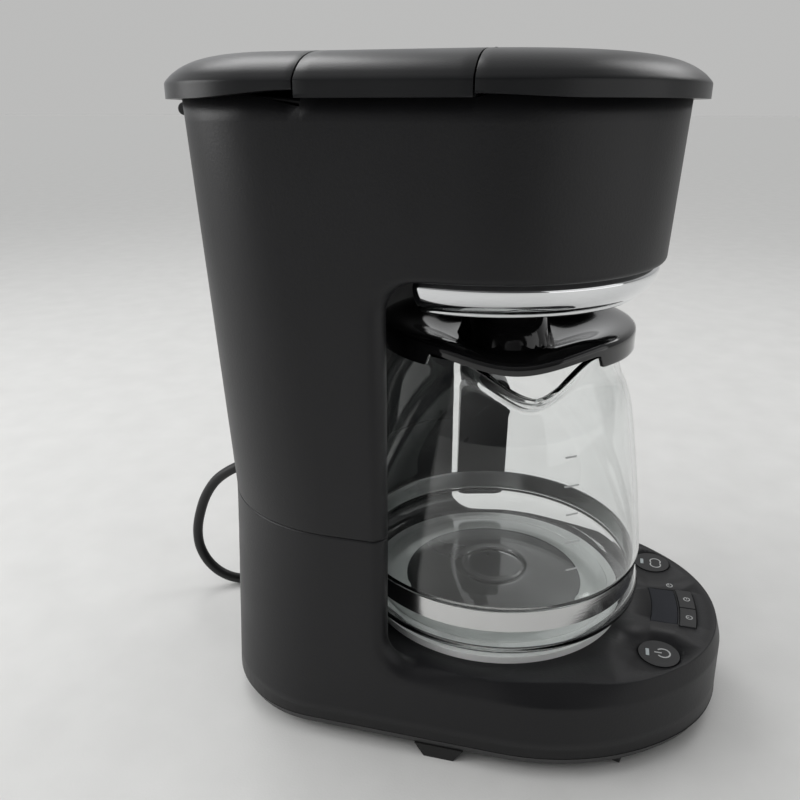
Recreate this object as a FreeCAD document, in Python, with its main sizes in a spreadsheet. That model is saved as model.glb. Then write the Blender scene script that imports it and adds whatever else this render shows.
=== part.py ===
"""Drip coffee maker with a glass carafe: a parametric document of its separate pieces.

+Z is up, -Y is the front that faces the user, and -X is the user's left. The floor is at z = 0 and
the origin is under the middle of the machine with its carafe. All lengths are in millimetres.
"""
import FreeCAD
import Part
import Sketcher
import math
import os
from types import SimpleNamespace

Vector = FreeCAD.Vector

# Driving sizes. Heights stack from the floor up; y positions are measured from the machine's own middle.
SIZES = {
    # Stack of heights
    "foot_height": 7.0,
    "pan_depth": 5.4,
    "side_height": 27.2,
    "deck_crown": 8.4,
    "seam_rise": 63.0,
    "plate_rise": 4.7,
    "rest_gap": 0.3,
    "glass_height": 134.0,
    "flange_thick": 6.5,
    "drum_rise": 8.0,
    "head_room": 22.2,
    "head_height": 64.0,
    "lid_skirt": 6.0,
    "lid_crown": 11.0,
    # Plan shape of the housing
    "body_half": 80.0,
    "side_taper": 1.5,
    "base_flare": 1.4,
    "rim_back": 108.0,
    "back_taper": 7.0,
    "rim_corner": 44.0,
    "rim_bow": 54.0,
    "seam_corner": 66.0,
    "seam_bow": 70.0,
    "base_corner": 54.0,
    "base_bow": 58.0,
    "lid_corner": 50.0,
    "head_y": -24.0,
    "front_taper": 7.5,
    "base_reach": 149.0,
    "base_nose": 100.0,
    "nose_side": 113.0,
    "crown_inset": 6.0,
    "wall": 2.5,
    "seam_gap": 0.4,
    # Bay for the carafe
    "brew_y": -33.0,
    "bay_radius": 78.0,
    "wing_y": 4.8,
    "bay_corner": 14.0,
    # Bottom plate, feet and screws
    "pan_inset": 2.5,
    "pan_wall": 2.5,
    "foot_long": 23.0,
    "foot_long_low": 14.0,
    "foot_deep": 8.4,
    "foot_deep_low": 8.0,
    "foot_inset": 4.2,
    "foot_mid_y": -21.0,
    "foot_end_inset": 28.4,
    "foot_rear_setback": 29.0,
    "foot_nose_setback": 48.0,
    "foot_end_turn": 75.0,
    "screw_radius": 1.7,
    "screw_fit": 0.05,
    "screw_hole": 2.2,
    "screw_head": 3.6,
    "screw_head_high": 2.2,
    "screw_long": 16.0,
    "boss_radius": 4.5,
    "screw_nose_x": 48.0,
    "screw_nose_y": -88.0,
    "screw_rear_x": 66.0,
    "screw_rear_y": 45.0,
    "rib_thick": 3.0,
    # Warming plate and heater
    "plate_radius": 60.0,
    "plate_thick": 1.5,
    "plate_lip": 3.0,
    "seal_width": 5.7,
    "seal_drop": 1.2,
    "plate_ledge": 3.0,
    "heater_radius": 40.0,
    "heater_tube_r": 6.0,
    "element_r": 4.0,
    "heater_sweep": 310.0,
    "element_sweep": 276.0,
    "stub_radius": 5.0,
    "stub_low": 33.2,
    "clamp_long": 104.0,
    "clamp_wide": 12.0,
    "clamp_thick": 2.0,
    "stud_radius": 2.0,
    "stud_long": 30.0,
    "nut_radius": 4.0,
    "nut_high": 3.2,
    "thermostat_r": 8.0,
    "thermostat_high": 6.0,
    "fuse_r": 2.5,
    "fuse_long": 24.0,
    "sensor_x": 22.0,
    # Water circuit
    "tank_gap": 1.5,
    "tank_front": 51.0,
    "tank_rise": 8.0,
    "tank_wall": 2.0,
    "outlet_x": -40.0,
    "outlet_y": 72.0,
    "spigot_bore": 3.2,
    "spigot_long": 10.0,
    "check_radius": 7.0,
    "check_high": 14.0,
    "ball_radius": 3.6,
    "hose_wall": 2.0,
    "hose_fit": 0.15,
    "hose_bend": 11.0,
    "hose_low_z": 22.0,
    "hose_overlap": 5.5,
    "riser_inset": 14.0,
    "riser_y": 27.0,
    "riser_drop": 12.0,
    "clamp_ring": 1.2,
    "clamp_ring_high": 5.0,
    "spray_y": -8.0,
    "spray_radius": 22.0,
    "spray_depth": 4.0,
    # Top deck, brew chamber and filter
    "deck_drop": 6.0,
    "deck_thick": 2.5,
    "deck_gap": 0.5,
    "chamber_radius": 62.0,
    "chamber_wall": 2.0,
    "chamber_wall_high": 44.0,
    "funnel_radius": 22.0,
    "funnel_drop": 20.0,
    "outlet_radius": 9.0,
    "outlet_bore": 6.5,
    "outlet_long": 7.0,
    "basket_gap": 1.6,
    "basket_taper": 6.0,
    "basket_wall": 1.8,
    "basket_hole": 12.0,
    "mesh_gap": 0.4,
    "mesh_wall": 0.8,
    # Drip stop
    "valve_gap": 0.3,
    "valve_stem": 3.0,
    "valve_disc": 8.4,
    "valve_disc_thick": 2.0,
    "valve_tip": 8.6,
    "valve_tip_high": 3.0,
    "seal_thick": 1.2,
    "spring_wire": 0.4,
    "spring_radius": 7.6,
    "spring_turns": 2.0,
    # Chrome ring under the head
    "ring_y": -25.0,
    "ring_radius": 74.0,
    "ring_low_radius": 65.5,
    "ring_high": 15.0,
    "ring_wall": 1.2,
    "ring_sweep": 220.0,
    # Lids
    "lid_overhang": 6.5,
    "lid_wall": 2.2,
    "shoulder_rise": 7.5,
    "shoulder_inset": 11.0,
    "top_inset": 30.0,
    "lid_gap": 0.7,
    "front_seam_y": -29.0,
    "rear_seam_y": 34.0,
    "notch_long": 20.0,
    "notch_deep": 4.0,
    "front_barrel": 2.0,
    "front_pin": 1.0,
    "front_barrel_half": 56.0,
    "front_knuckle_half": 12.0,
    "rear_barrel": 2.7,
    "rear_pin": 1.5,
    "rear_barrel_half": 24.0,
    "rear_knuckle_half": 13.0,
    "rear_hinge_in": 3.5,
    "rear_hinge_drop": 3.6,
    "pin_fit": 0.05,
    "knuckle_gap": 0.4,
    # Control panel
    "button_x": 39.6,
    "button_y": -116.2,
    "button_radius": 9.2,
    "button_gap": 0.35,
    "button_proud": 0.3,
    "button_lip": 1.0,
    "button_cap": 4.4,
    "button_stem": 2.0,
    "button_travel": 0.8,
    "light_y": 5.1,
    "light_long": 4.8,
    "light_wide": 1.6,
    "key_wide": 15.4,
    "key_deep": 7.4,
    "key_y": -132.2,
    "key_split": 0.6,
    "lcd_half": 14.4,
    "lcd_deep": 12.6,
    "lcd_y": -121.2,
    "lcd_gap": 0.2,
    "lens_thick": 2.0,
    "board_thick": 1.6,
    "board_drop": 18.0,
    "board_half": 50.0,
    "board_nose_half": 26.0,
    "board_back_y": -100.0,
    "board_mid_y": -118.0,
    "board_nose_y": -137.0,
    "switch_side": 6.0,
    "switch_high": 4.0,
    "switch_pin": 1.6,
    "switch_pin_high": 1.2,
    # Carafe
    "handle_turn": 15.0,
    "glass_wall": 2.4,
    "glass_foot_r": 73.0,
    "glass_base_r": 58.0,
    "stand_inset": 6.0,
    "glass_foot_high": 8.5,
    "glass_band_r": 69.8,
    "band_low": 15.6,
    "band_high": 26.2,
    "glass_body_r": 71.8,
    "glass_body_low": 27.2,
    "glass_side_bend": 1200.0,
    "shoulder_r": 60.9,
    "shoulder_drop": 33.0,
    "shoulder_bend": 26.0,
    "neck_r": 53.5,
    "neck_drop": 12.0,
    "rim_r": 55.5,
    "punt_r": 42.0,
    "punt_high": 4.0,
    "spout_out": 54.0,
    "spout_r": 21.0,
    "spout_deep": 38.0,
    "band_gap": 0.15,
    "band_thick": 0.8,
    "handle_wide": 32.0,
    "grip_wide": 19.0,
    "slab_out": 79.0,
    "slab_low": 9.0,
    "slab_high": 87.0,
    "grip_in": 101.0,
    "grip_out": 117.0,
    "handle_low": 18.0,
    "arm_high": 14.0,
    "handle_drop": 11.5,
    "handle_gap": 0.35,
    "band_screw_r": 2.0,
    "band_screw_head": 3.6,
    "cap_skirt_r": 57.2,
    "cap_wall": 1.8,
    "cap_skirt": 3.0,
    "plug_r": 50.4,
    "plug_skirt": 9.0,
    "drum_r": 21.5,
    "cap_dish": 8.5,
    "drum_hole": 4.0,
    "cap_cut_half": 41.0,
    # Cord
    "cord_r": 3.0,
    "cord_fit": 0.05,
    "cord_x": 21.0,
    "relief_z": 105.7,
    "relief_inset": 8.8,
    "relief_tilt": 30.0,
    "relief_long": 33.4,
    "relief_wide": 5.4,
    "relief_narrow": 3.9,
    "relief_flange": 7.2,
    "relief_flange_thick": 2.0,
    "coil_x": 132.0,
    "coil_y": 108.0,
    "coil_r": 36.0,
    "coil_half": 6.5,
    "coil_low": 1.1,
    "coil_high": 13.2,
    "tie_thick": 0.7,
    "tie_wide": 6.0,
    "tie_angle": 200.0,
    "plug_wide": 24.0,
    "plug_turn": 75.0,
    "plug_run": 30.0,
    "plug_long": 28.0,
    "plug_high": 15.0,
    "plug_tail": 12.0,
    "plug_tail_r": 5.0,
    "blade_long": 16.0,
    "blade_wide": 6.3,
    "blade_thick": 1.5,
    "blade_apart": 12.7,
}

doc = FreeCAD.newDocument("DripCoffeeMaker")
sheet = doc.addObject("Spreadsheet::Sheet", "Sizes")
for row, (alias, value) in enumerate(SIZES.items(), start=1):
    sheet.set(f"A{row}", alias)
    sheet.set(f"B{row}", str(value))
    sheet.setAlias(f"B{row}", alias)
doc.recompute()


class Dim:
    """A length that carries its number and the sheet formula that it comes from."""

    def __init__(self, number, formula):
        self.number = float(number)
        self.formula = formula

    @staticmethod
    def of(value):
        """Gives a Dim as it is, and wraps a plain number."""
        if isinstance(value, Dim):
            return value
        return Dim(value, repr(float(value)))

    def __add__(self, other):
        other = Dim.of(other)
        return Dim(self.number + other.number, f"({self.formula} + {other.formula})")

    def __sub__(self, other):
        other = Dim.of(other)
        return Dim(self.number - other.number, f"({self.formula} - {other.formula})")

    def __mul__(self, other):
        other = Dim.of(other)
        return Dim(self.number * other.number, f"({self.formula} * {other.formula})")

    def __truediv__(self, other):
        other = Dim.of(other)
        return Dim(self.number / other.number, f"({self.formula} / {other.formula})")

    def __radd__(self, other):
        return Dim.of(other) + self

    def __rsub__(self, other):
        return Dim.of(other) - self

    def __rmul__(self, other):
        return Dim.of(other) * self

    def __neg__(self):
        return Dim(-self.number, f"(0 - {self.formula})")


def cosine(angle):
    """The cosine of an angle in degrees."""
    return Dim(math.cos(math.radians(angle.number)), f"cos({angle.formula} * 1 deg)")


def sine(angle):
    """The sine of an angle in degrees."""
    return Dim(math.sin(math.radians(angle.number)), f"sin({angle.formula} * 1 deg)")


def root(value):
    """The square root of a plain value."""
    return Dim(math.sqrt(value.number), f"sqrt({value.formula})")


size = SimpleNamespace(**{name: Dim(sheet.get(name), f"Sizes.{name}") for name in SIZES})

# Heights that follow from the stack
parting_z = size.foot_height + size.pan_depth
edge_z = parting_z + size.side_height
deck_z = edge_z + size.deck_crown
seam_z = deck_z + size.seam_rise
plate_z = deck_z + size.plate_rise
glass_z = plate_z + size.rest_gap
glass_top = glass_z + size.glass_height
flange_z = glass_top + size.rest_gap
flange_top = flange_z + size.flange_thick
drum_top = flange_top + size.drum_rise
head_z = drum_top + size.head_room
rim_z = head_z + size.head_height
skirt_z = rim_z + size.lid_skirt
lid_top = skirt_z + size.lid_crown
top_deck_z = rim_z - size.deck_drop
top_deck_top = top_deck_z + size.deck_thick
tank_z = seam_z + size.tank_rise
board_z = deck_z - size.board_drop
board_top = board_z + size.board_thick
neck_high = size.glass_height - size.neck_drop
shoulder_high = size.glass_height - size.shoulder_drop
spout_low = size.glass_height - size.spout_deep
handle_top = size.glass_height - size.handle_drop
plate_hole = size.plate_radius - size.plate_ledge

# Plan sizes that follow from the housing's
seam_half = size.body_half - size.side_taper
base_half = size.body_half + size.base_flare
lid_half = size.body_half + size.lid_overhang
seam_back = size.rim_back - size.back_taper
relief_y = seam_back - size.relief_inset - size.wall
riser_x = size.body_half - size.riser_inset
stand_r = size.plate_radius - size.stand_inset
lid_back = size.rim_back + size.lid_overhang
seam_head_y = size.head_y + size.front_taper - size.side_taper
handle_far = size.grip_out * cosine(size.handle_turn) + size.grip_wide / 2 * sine(size.handle_turn)

# The origin lies under the middle of the box round the machine and its carafe
frame_x = (lid_half - handle_far) / 2
frame_y = (size.base_reach - lid_back) / 2

MARGIN = 1.0
sub_parts = []


def bind(item, path, value):
    """Ties a property of an object to the sheet."""
    item.setExpression(path, Dim.of(value).formula)


def move(item, x=0.0, y=0.0, z=0.0, turn=None):
    """Places an object by sheet formulas, after an optional fixed rotation."""
    item.Placement = FreeCAD.Placement(Vector(), turn or FreeCAD.Rotation())
    bind(item, "Placement.Base.x", x)
    bind(item, "Placement.Base.y", y)
    bind(item, "Placement.Base.z", z)
    return item


def keep(item, label, x=0.0, y=0.0, z=0.0, turn=None):
    """Names a finished sub-part and places it in the shared frame."""
    item.Label = label
    move(item, frame_x + x, frame_y + y, z, turn)
    sub_parts.append(item)
    return item


def about_z(angle):
    """A rotation about the upright axis, from a sheet angle in degrees."""
    return FreeCAD.Rotation(Vector(0, 0, 1), Dim.of(angle).number)


ALONG_X = FreeCAD.Rotation(Vector(0, 1, 0), 90)
ALONG_Y = FreeCAD.Rotation(Vector(1, 0, 0), -90)
SIDE_PLANE = FreeCAD.Rotation(Vector(1, 1, 1), 120)


def box(x, y, z, wide, deep, high):
    """A block whose low corner is at x, y, z."""
    item = doc.addObject("Part::Box", "Block")
    bind(item, "Length", wide)
    bind(item, "Width", deep)
    bind(item, "Height", high)
    return move(item, x, y, z)


def mid_box(x, y, z, wide, deep, high):
    """A block centred on x and y, standing on z."""
    return box(x - Dim.of(wide) / 2, y - Dim.of(deep) / 2, z, wide, deep, high)


def rod(radius, low, high, x=0.0, y=0.0):
    """An upright round bar from one height to another."""
    item = doc.addObject("Part::Cylinder", "Rod")
    bind(item, "Radius", radius)
    bind(item, "Height", Dim.of(high) - low)
    return move(item, x, y, low)


def cross_rod(radius, x0, x1, y, z):
    """A round bar along X."""
    item = doc.addObject("Part::Cylinder", "CrossRod")
    bind(item, "Radius", radius)
    bind(item, "Height", Dim.of(x1) - x0)
    return move(item, x0, y, z, ALONG_X)


def cone(low_radius, high_radius, low, high, x=0.0, y=0.0):
    """An upright cone from one height to another."""
    item = doc.addObject("Part::Cone", "Cone")
    bind(item, "Radius1", low_radius)
    bind(item, "Radius2", high_radius)
    bind(item, "Height", Dim.of(high) - low)
    return move(item, x, y, low)


def fuse(*items):
    """Several solids joined into one."""
    item = doc.addObject("Part::MultiFuse", "Joined")
    item.Shapes = list(items)
    return item


def cut(base, *tools):
    """A solid with the tools taken away."""
    item = doc.addObject("Part::Cut", "Cut")
    item.Base = base
    item.Tool = tools[0] if len(tools) == 1 else fuse(*tools)
    return item


def common(base, tool):
    """The part of one solid that lies inside another."""
    item = doc.addObject("Part::Common", "Shared")
    item.Base = base
    item.Tool = tool
    return item


def group(*items):
    """Separate solids that belong to one sub-part."""
    item = doc.addObject("Part::Compound", "Group")
    item.Links = list(items)
    return item


def arc_between(start, stop, radius, hollow):
    """A circular arc between two points, bulging out of a counter-clockwise outline unless hollow."""
    chord = stop - start
    half = chord.Length / 2
    left = Vector(-chord.y, chord.x, 0).normalize()
    away = left * math.sqrt(max(radius * radius - half * half, 0.0))
    centre = (start + stop) / 2 + (away * -1 if hollow else away)
    first, last = (stop, start) if hollow else (start, stop)
    angles = [math.atan2(point.y - centre.y, point.x - centre.x) for point in (first, last)]
    return Part.ArcOfCircle(Part.Circle(centre, Vector(0, 0, 1), radius), *angles)


def draw(sketch, points, bends=None):
    """Draws a closed outline in a sketch and ties every corner and radius to the sheet.

    bends maps an edge's number to its radius and whether it curves into the outline.
    """
    bends = bends or {}
    count = len(points)
    spots = [Vector(Dim.of(x).number, Dim.of(y).number, 0) for x, y in points]
    ends = []
    for edge in range(count):
        start, stop = spots[edge], spots[(edge + 1) % count]
        radius, hollow = bends.get(edge, (None, False))
        if radius is None:
            sketch.addGeometry(Part.LineSegment(start, stop), False)
        else:
            sketch.addGeometry(arc_between(start, stop, radius.number, hollow), False)
        ends.append((2, 1) if hollow else (1, 2))
    for edge in range(count):
        after = (edge + 1) % count
        joint = Sketcher.Constraint("Coincident", edge, ends[edge][1], after, ends[after][0])
        sketch.addConstraint(joint)
    for edge, (x, y) in enumerate(points):
        for kind, value in (("DistanceX", Dim.of(x)), ("DistanceY", Dim.of(y))):
            limit = Sketcher.Constraint(kind, -1, 1, edge, ends[edge][0], value.number)
            name = f"{kind}{edge}"
            sketch.renameConstraint(sketch.addConstraint(limit), name)
            sketch.setExpression(f"Constraints.{name}", value.formula)
    for edge, (radius, hollow) in bends.items():
        limit = Sketcher.Constraint("Radius", edge, radius.number)
        name = f"Radius{edge}"
        sketch.renameConstraint(sketch.addConstraint(limit), name)
        sketch.setExpression(f"Constraints.{name}", radius.formula)
    return sketch


def level(outline, z):
    """A flat outline at a height."""
    sketch = doc.addObject("Sketcher::SketchObject", "Outline")
    draw(sketch, *outline)
    return move(sketch, z=z)


def prism(outline, low, high):
    """An upright solid of one outline."""
    item = doc.addObject("Part::Extrusion", "Prism")
    item.Base = level(outline, low)
    item.DirMode = "Custom"
    item.Dir = Vector(0, 0, 1)
    item.Solid = True
    bind(item, "LengthFwd", Dim.of(high) - low)
    return item


def loft(low_outline, low, high_outline, high):
    """A solid between two outlines of the same kind."""
    item = doc.addObject("Part::Loft", "Loft")
    item.Sections = [level(low_outline, low), level(high_outline, high)]
    item.Solid = True
    item.Ruled = True
    return item


def side_prism(outline, half):
    """A solid of an outline in the side view, as wide as twice half."""
    sketch = doc.addObject("Sketcher::SketchObject", "SideOutline")
    draw(sketch, *outline)
    move(sketch, turn=SIDE_PLANE)
    item = doc.addObject("Part::Extrusion", "SidePrism")
    item.Base = sketch
    item.DirMode = "Custom"
    item.Dir = Vector(1, 0, 0)
    item.Solid = True
    bind(item, "LengthFwd", half)
    bind(item, "LengthRev", half)
    return item


def turned(outline, angle=360.0):
    """A body of revolution about its own upright axis."""
    body = doc.addObject("PartDesign::Body", "Turned")
    plane = next(item for item in body.Origin.OriginFeatures if item.Role == "XZ_Plane")
    sketch = body.newObject("Sketcher::SketchObject", "Profile")
    sketch.AttachmentSupport = [(plane, "")]
    sketch.MapMode = "FlatFace"
    draw(sketch, *outline)
    spin = body.newObject("PartDesign::Revolution", "Spin")
    spin.Profile = sketch
    spin.ReferenceAxis = (sketch, ["V_Axis"])
    spin.Midplane = True
    bind(spin, "Angle", angle)
    return body


def washer(inner, outer, low, high):
    """A plain turned ring."""
    return turned(([(inner, low), (outer, low), (outer, high), (inner, high)],))


def rounded_end(half, depth, corner):
    """A half-oval end of three tangent arcs: its end radius and the corner arc's far point."""
    end = (half * half + depth * depth - 2 * half * corner) / (2 * (depth - corner))
    spot_x = end * (half - corner) / (end - corner)
    spot_y = (end - depth) * corner / (end - corner)
    return end, spot_x, spot_y


def head_outline(half, back, bow, corner, nose_y):
    """A plan with a half-round front about nose_y and a bowed back."""
    end, spot_x, spot_y = rounded_end(half, bow, corner)
    side_y = back - bow
    points = [
        (half, nose_y), (half, side_y), (spot_x, side_y + spot_y), (-spot_x, side_y + spot_y),
        (-half, side_y), (-half, nose_y), (Dim.of(0), nose_y - half),
    ]
    bends = {1: (corner, False), 2: (end, False), 3: (corner, False), 5: (half, False), 6: (half, False)}
    return points, bends


def rim_outline(inset):
    """The housing's plan at its rim."""
    return head_outline(
        size.body_half - inset, size.rim_back - inset, size.rim_bow - inset,
        size.rim_corner - inset, size.head_y,
    )


def seam_outline(inset):
    """The housing's plan at the seam between its two shells."""
    return head_outline(
        seam_half - inset, seam_back - inset, size.seam_bow - inset,
        size.seam_corner - inset, seam_head_y,
    )


def root_outline(inset):
    """The column's plan where it runs down into the base."""
    return head_outline(
        base_half - inset, seam_back - inset, size.base_bow - inset,
        size.base_corner - inset, seam_head_y,
    )


def lid_outline(inset):
    """The plan of the closed lids."""
    return head_outline(
        lid_half - inset, lid_back - inset, size.rim_bow + size.lid_overhang - inset,
        size.lid_corner - inset, size.head_y,
    )


def base_outline(inset):
    """The base's plan: the column's back with a long rounded nose under the control panel."""
    half = base_half - inset
    bow = size.base_bow - inset
    corner = size.base_corner - inset
    nose = size.base_nose - inset
    side = size.nose_side - inset
    end, spot_x, spot_y = rounded_end(half, bow, corner)
    tip, tip_x, tip_y = rounded_end(half, nose, side)
    side_y = seam_back - size.base_bow
    nose_y = size.base_nose - size.base_reach
    points = [
        (half, nose_y), (half, side_y), (spot_x, side_y + spot_y), (-spot_x, side_y + spot_y),
        (-half, side_y), (-half, nose_y), (-tip_x, nose_y - tip_y), (tip_x, nose_y - tip_y),
    ]
    bends = {
        1: (corner, False), 2: (end, False), 3: (corner, False),
        5: (side, False), 6: (tip, False), 7: (side, False),
    }
    return points, bends


def tank_outline(inset):
    """The water tank's plan: the column's back with a straight front."""
    gap = size.wall + size.tank_gap + inset
    half = seam_half - gap
    corner = size.seam_corner - gap
    end, spot_x, spot_y = rounded_end(half, size.seam_bow - gap, corner)
    side_y = seam_back - size.seam_bow
    front = size.tank_front + inset
    along = front - side_y
    front_x = half - corner + root(corner * corner - along * along)
    points = [
        (front_x, front), (spot_x, side_y + spot_y), (-spot_x, side_y + spot_y), (-front_x, front),
    ]
    return points, {0: (corner, False), 1: (end, False), 2: (corner, False)}


def low_bay(grow):
    """The carafe's room above the deck, in the lower shell."""
    wing = size.wing_y + grow
    floor = deck_z - grow
    corner = size.bay_corner + grow
    ahead = -size.base_reach - size.body_half
    above = seam_z + size.bay_corner
    side = [(ahead, floor), (wing - corner, floor), (wing, floor + corner), (wing, above), (ahead, above)]
    return fuse(
        side_prism((side, {1: (corner, False)}), 2 * base_half),
        rod(size.bay_radius + grow, floor, above, y=size.brew_y),
    )


def high_bay(grow):
    """The carafe's room below the head, in the upper shell."""
    wing = size.wing_y + grow
    roof = head_z + grow
    corner = size.bay_corner + grow
    ahead = -size.base_reach - size.body_half
    below = seam_z - size.bay_corner
    side = [(ahead, below), (wing, below), (wing, roof - corner), (wing - corner, roof), (ahead, roof)]
    return fuse(
        side_prism((side, {2: (corner, False)}), 2 * base_half),
        rod(size.bay_radius + grow, below, roof, y=size.brew_y),
    )


def mirrored_spots(x, y):
    """A place on each side of the middle."""
    return [(x, y), (-x, y)]


screw_spots = (
    mirrored_spots(size.screw_nose_x, size.screw_nose_y)
    + mirrored_spots(size.screw_rear_x, size.screw_rear_y)
)
button_spots = mirrored_spots(-size.button_x, size.button_y)
key_spots = mirrored_spots(-(size.key_wide + size.key_split) / 2, size.key_y)


def build_base_plate():
    """Bottom plate: a shallow pan under the base, screwed up into it."""
    outside = loft(
        base_outline(size.pan_inset), size.foot_height,
        base_outline(Dim.of(0)), parting_z - size.seam_gap,
    )
    floor = size.foot_height + size.pan_wall
    inside = loft(
        base_outline(size.pan_inset + size.pan_wall), floor,
        base_outline(size.pan_wall), parting_z + MARGIN,
    )
    holes = [rod(size.screw_hole, size.foot_height - MARGIN, floor + MARGIN, x, y) for x, y in screw_spots]
    keep(cut(outside, inside, *holes), "base_plate")


def foot(x, y, turn):
    """One tapered rubber foot, narrower where it meets the table."""
    item = doc.addObject("Part::Wedge", "Foot")
    stand = FreeCAD.Rotation(Vector(0, 0, 1), turn) * FreeCAD.Rotation(Vector(1, 0, 0), 90)
    for name, value in (
        ("Xmin", -size.foot_deep_low / 2), ("Xmax", size.foot_deep_low / 2),
        ("Zmin", -size.foot_long_low / 2), ("Zmax", size.foot_long_low / 2),
        ("X2min", -size.foot_deep / 2), ("X2max", size.foot_deep / 2),
        ("Z2min", -size.foot_long / 2), ("Z2max", size.foot_long / 2),
        ("Ymin", Dim.of(0)), ("Ymax", size.foot_height),
    ):
        bind(item, name, value)
    return move(item, x, y, turn=stand)


def build_feet():
    """Feet in three pairs, the end pairs turned along the rounded edge."""
    mid_x = base_half - size.foot_inset - size.foot_deep / 2 + size.pan_inset
    end_x = base_half - size.foot_end_inset
    rear_y = seam_back - size.foot_rear_setback
    nose_y = size.foot_nose_setback - size.base_reach
    turn = size.foot_end_turn.number
    feet = []
    for side in (1, -1):
        feet.append(foot(side * mid_x, size.foot_mid_y, 0))
        feet.append(foot(side * end_x, rear_y, side * turn))
        feet.append(foot(side * end_x, nose_y, -side * turn))
    keep(group(*feet), "feet")


def build_base_screws():
    """Screws that hold the bottom plate to the lower shell."""
    screws = []
    for x, y in screw_spots:
        head_z0 = size.foot_height - size.screw_head_high
        head = rod(size.screw_head, head_z0, size.foot_height, x, y)
        shank = rod(size.screw_radius, head_z0, size.foot_height + size.screw_long, x, y)
        screws.append(fuse(head, shank))
    keep(group(*screws), "base_screws")


def build_lower_housing():
    """Lower shell: the base with its control deck, and the foot of the column."""
    lean = (base_half - seam_half) * size.side_height / (seam_z - parting_z)
    rim = seam_z - size.seam_gap / 2
    zero = Dim.of(0)
    wall = size.wall
    base = loft(base_outline(zero), parting_z, base_outline(lean), edge_z)
    crown = loft(base_outline(lean), edge_z, base_outline(size.crown_inset), deck_z)
    column = cut(loft(root_outline(lean), edge_z, seam_outline(zero), rim), low_bay(zero))
    hollow_base = loft(base_outline(wall), parting_z - MARGIN, base_outline(lean + wall), edge_z)
    hollow_crown = loft(
        base_outline(lean + wall), edge_z, base_outline(size.crown_inset + wall), deck_z - wall,
    )
    hollow_column = cut(
        loft(root_outline(lean + wall), edge_z, seam_outline(wall), rim + MARGIN), low_bay(wall)
    )
    shell = cut(fuse(base, crown, column), hollow_base, hollow_crown, hollow_column)
    floor = size.foot_height + size.pan_wall
    under_deck = deck_z - wall / 2
    posts = []
    for x, y in screw_spots[:2]:
        posts.append(rod(size.boss_radius, floor, under_deck, x, y))
    rib_high = floor + size.screw_long + size.boss_radius
    for x, y in screw_spots[2:]:
        posts.append(rod(size.boss_radius, floor, rib_high, x, y))
    rib_long = base_half - size.wall / 2 - size.screw_rear_x
    for low_x in (size.screw_rear_x, -size.screw_rear_x - rib_long):
        rib = box(
            low_x, size.screw_rear_y - size.rib_thick / 2, floor + size.pan_depth,
            rib_long, size.rib_thick, rib_high - floor - size.pan_depth,
        )
        posts.append(rib)
    for x in (size.board_half - size.boss_radius, size.board_nose_half):
        for post_x, y in mirrored_spots(x, size.board_back_y - size.boss_radius):
            posts.append(rod(size.boss_radius / 2, board_top, under_deck, post_x, y))
    above = deck_z + MARGIN
    below = deck_z - wall - MARGIN
    holes = [rod(plate_hole, below, above, y=size.brew_y)]
    lip_low = deck_z - size.button_cap - size.button_travel - size.seam_gap
    for x, y in button_spots:
        holes.append(rod(size.button_radius + size.button_gap, below, above, x, y))
        lip_r = size.button_radius + size.button_lip + size.button_gap
        holes.append(rod(lip_r, lip_low, deck_z - wall, x, y))
    keys_wide = 2 * size.key_wide + size.key_split + 2 * size.button_gap
    keys_deep = size.key_deep + 2 * size.button_gap
    holes.append(mid_box(0, size.key_y, below, keys_wide, keys_deep, above - below))
    lip_deep = keys_deep + 2 * size.button_lip
    holes.append(mid_box(0, size.key_y, lip_low, keys_wide, lip_deep, deck_z - wall - lip_low))
    lcd_wide = 2 * (size.lcd_half + size.lcd_gap)
    lcd_deep = size.lcd_deep + 2 * size.lcd_gap
    holes.append(mid_box(0, size.lcd_y, below, lcd_wide, lcd_deep, above - below))
    for x, y in screw_spots:
        holes.append(rod(size.screw_radius + size.screw_fit, floor - MARGIN, floor + size.screw_long, x, y))
    holes.append(relief_bar(size.relief_wide + size.cord_fit, -size.relief_long, size.relief_long))
    keep(cut(fuse(shell, *posts), *holes), "lower_housing")


def build_upper_housing():
    """Upper shell: the column and the head that hangs over the carafe."""
    zero = Dim.of(0)
    foot_z = seam_z + size.seam_gap / 2
    outside = cut(loft(seam_outline(zero), foot_z, rim_outline(zero), rim_z), high_bay(zero))
    wall = size.wall
    inside = cut(
        loft(seam_outline(wall), foot_z - MARGIN, rim_outline(wall), rim_z + MARGIN), high_bay(wall)
    )
    funnel_hole = rod(
        size.chamber_radius - size.funnel_radius / 2, head_z - MARGIN, head_z + wall + MARGIN,
        y=size.brew_y,
    )
    near = size.rear_seam_y - MARGIN
    notch = [
        (near, rim_z - size.notch_deep), (near + size.notch_long, rim_z), (near + size.notch_long, rim_z + 2),
        (near, rim_z + 2),
    ]
    shell = cut(outside, inside, funnel_hole, side_prism((notch,), size.body_half + MARGIN))
    keep(cut(fuse(shell, *rear_ears()), rear_pin_rod(size.pin_fit)), "upper_housing")


rear_hinge_y = lid_back - size.rear_hinge_in
rear_hinge_z = rim_z - size.rear_hinge_drop


def rear_pin_rod(grow):
    """The rear lid's hinge pin, or its hole when grown."""
    half = size.rear_barrel_half + grow * MARGIN
    return cross_rod(size.rear_pin + grow, -half, half, rear_hinge_y, rear_hinge_z)


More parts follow.
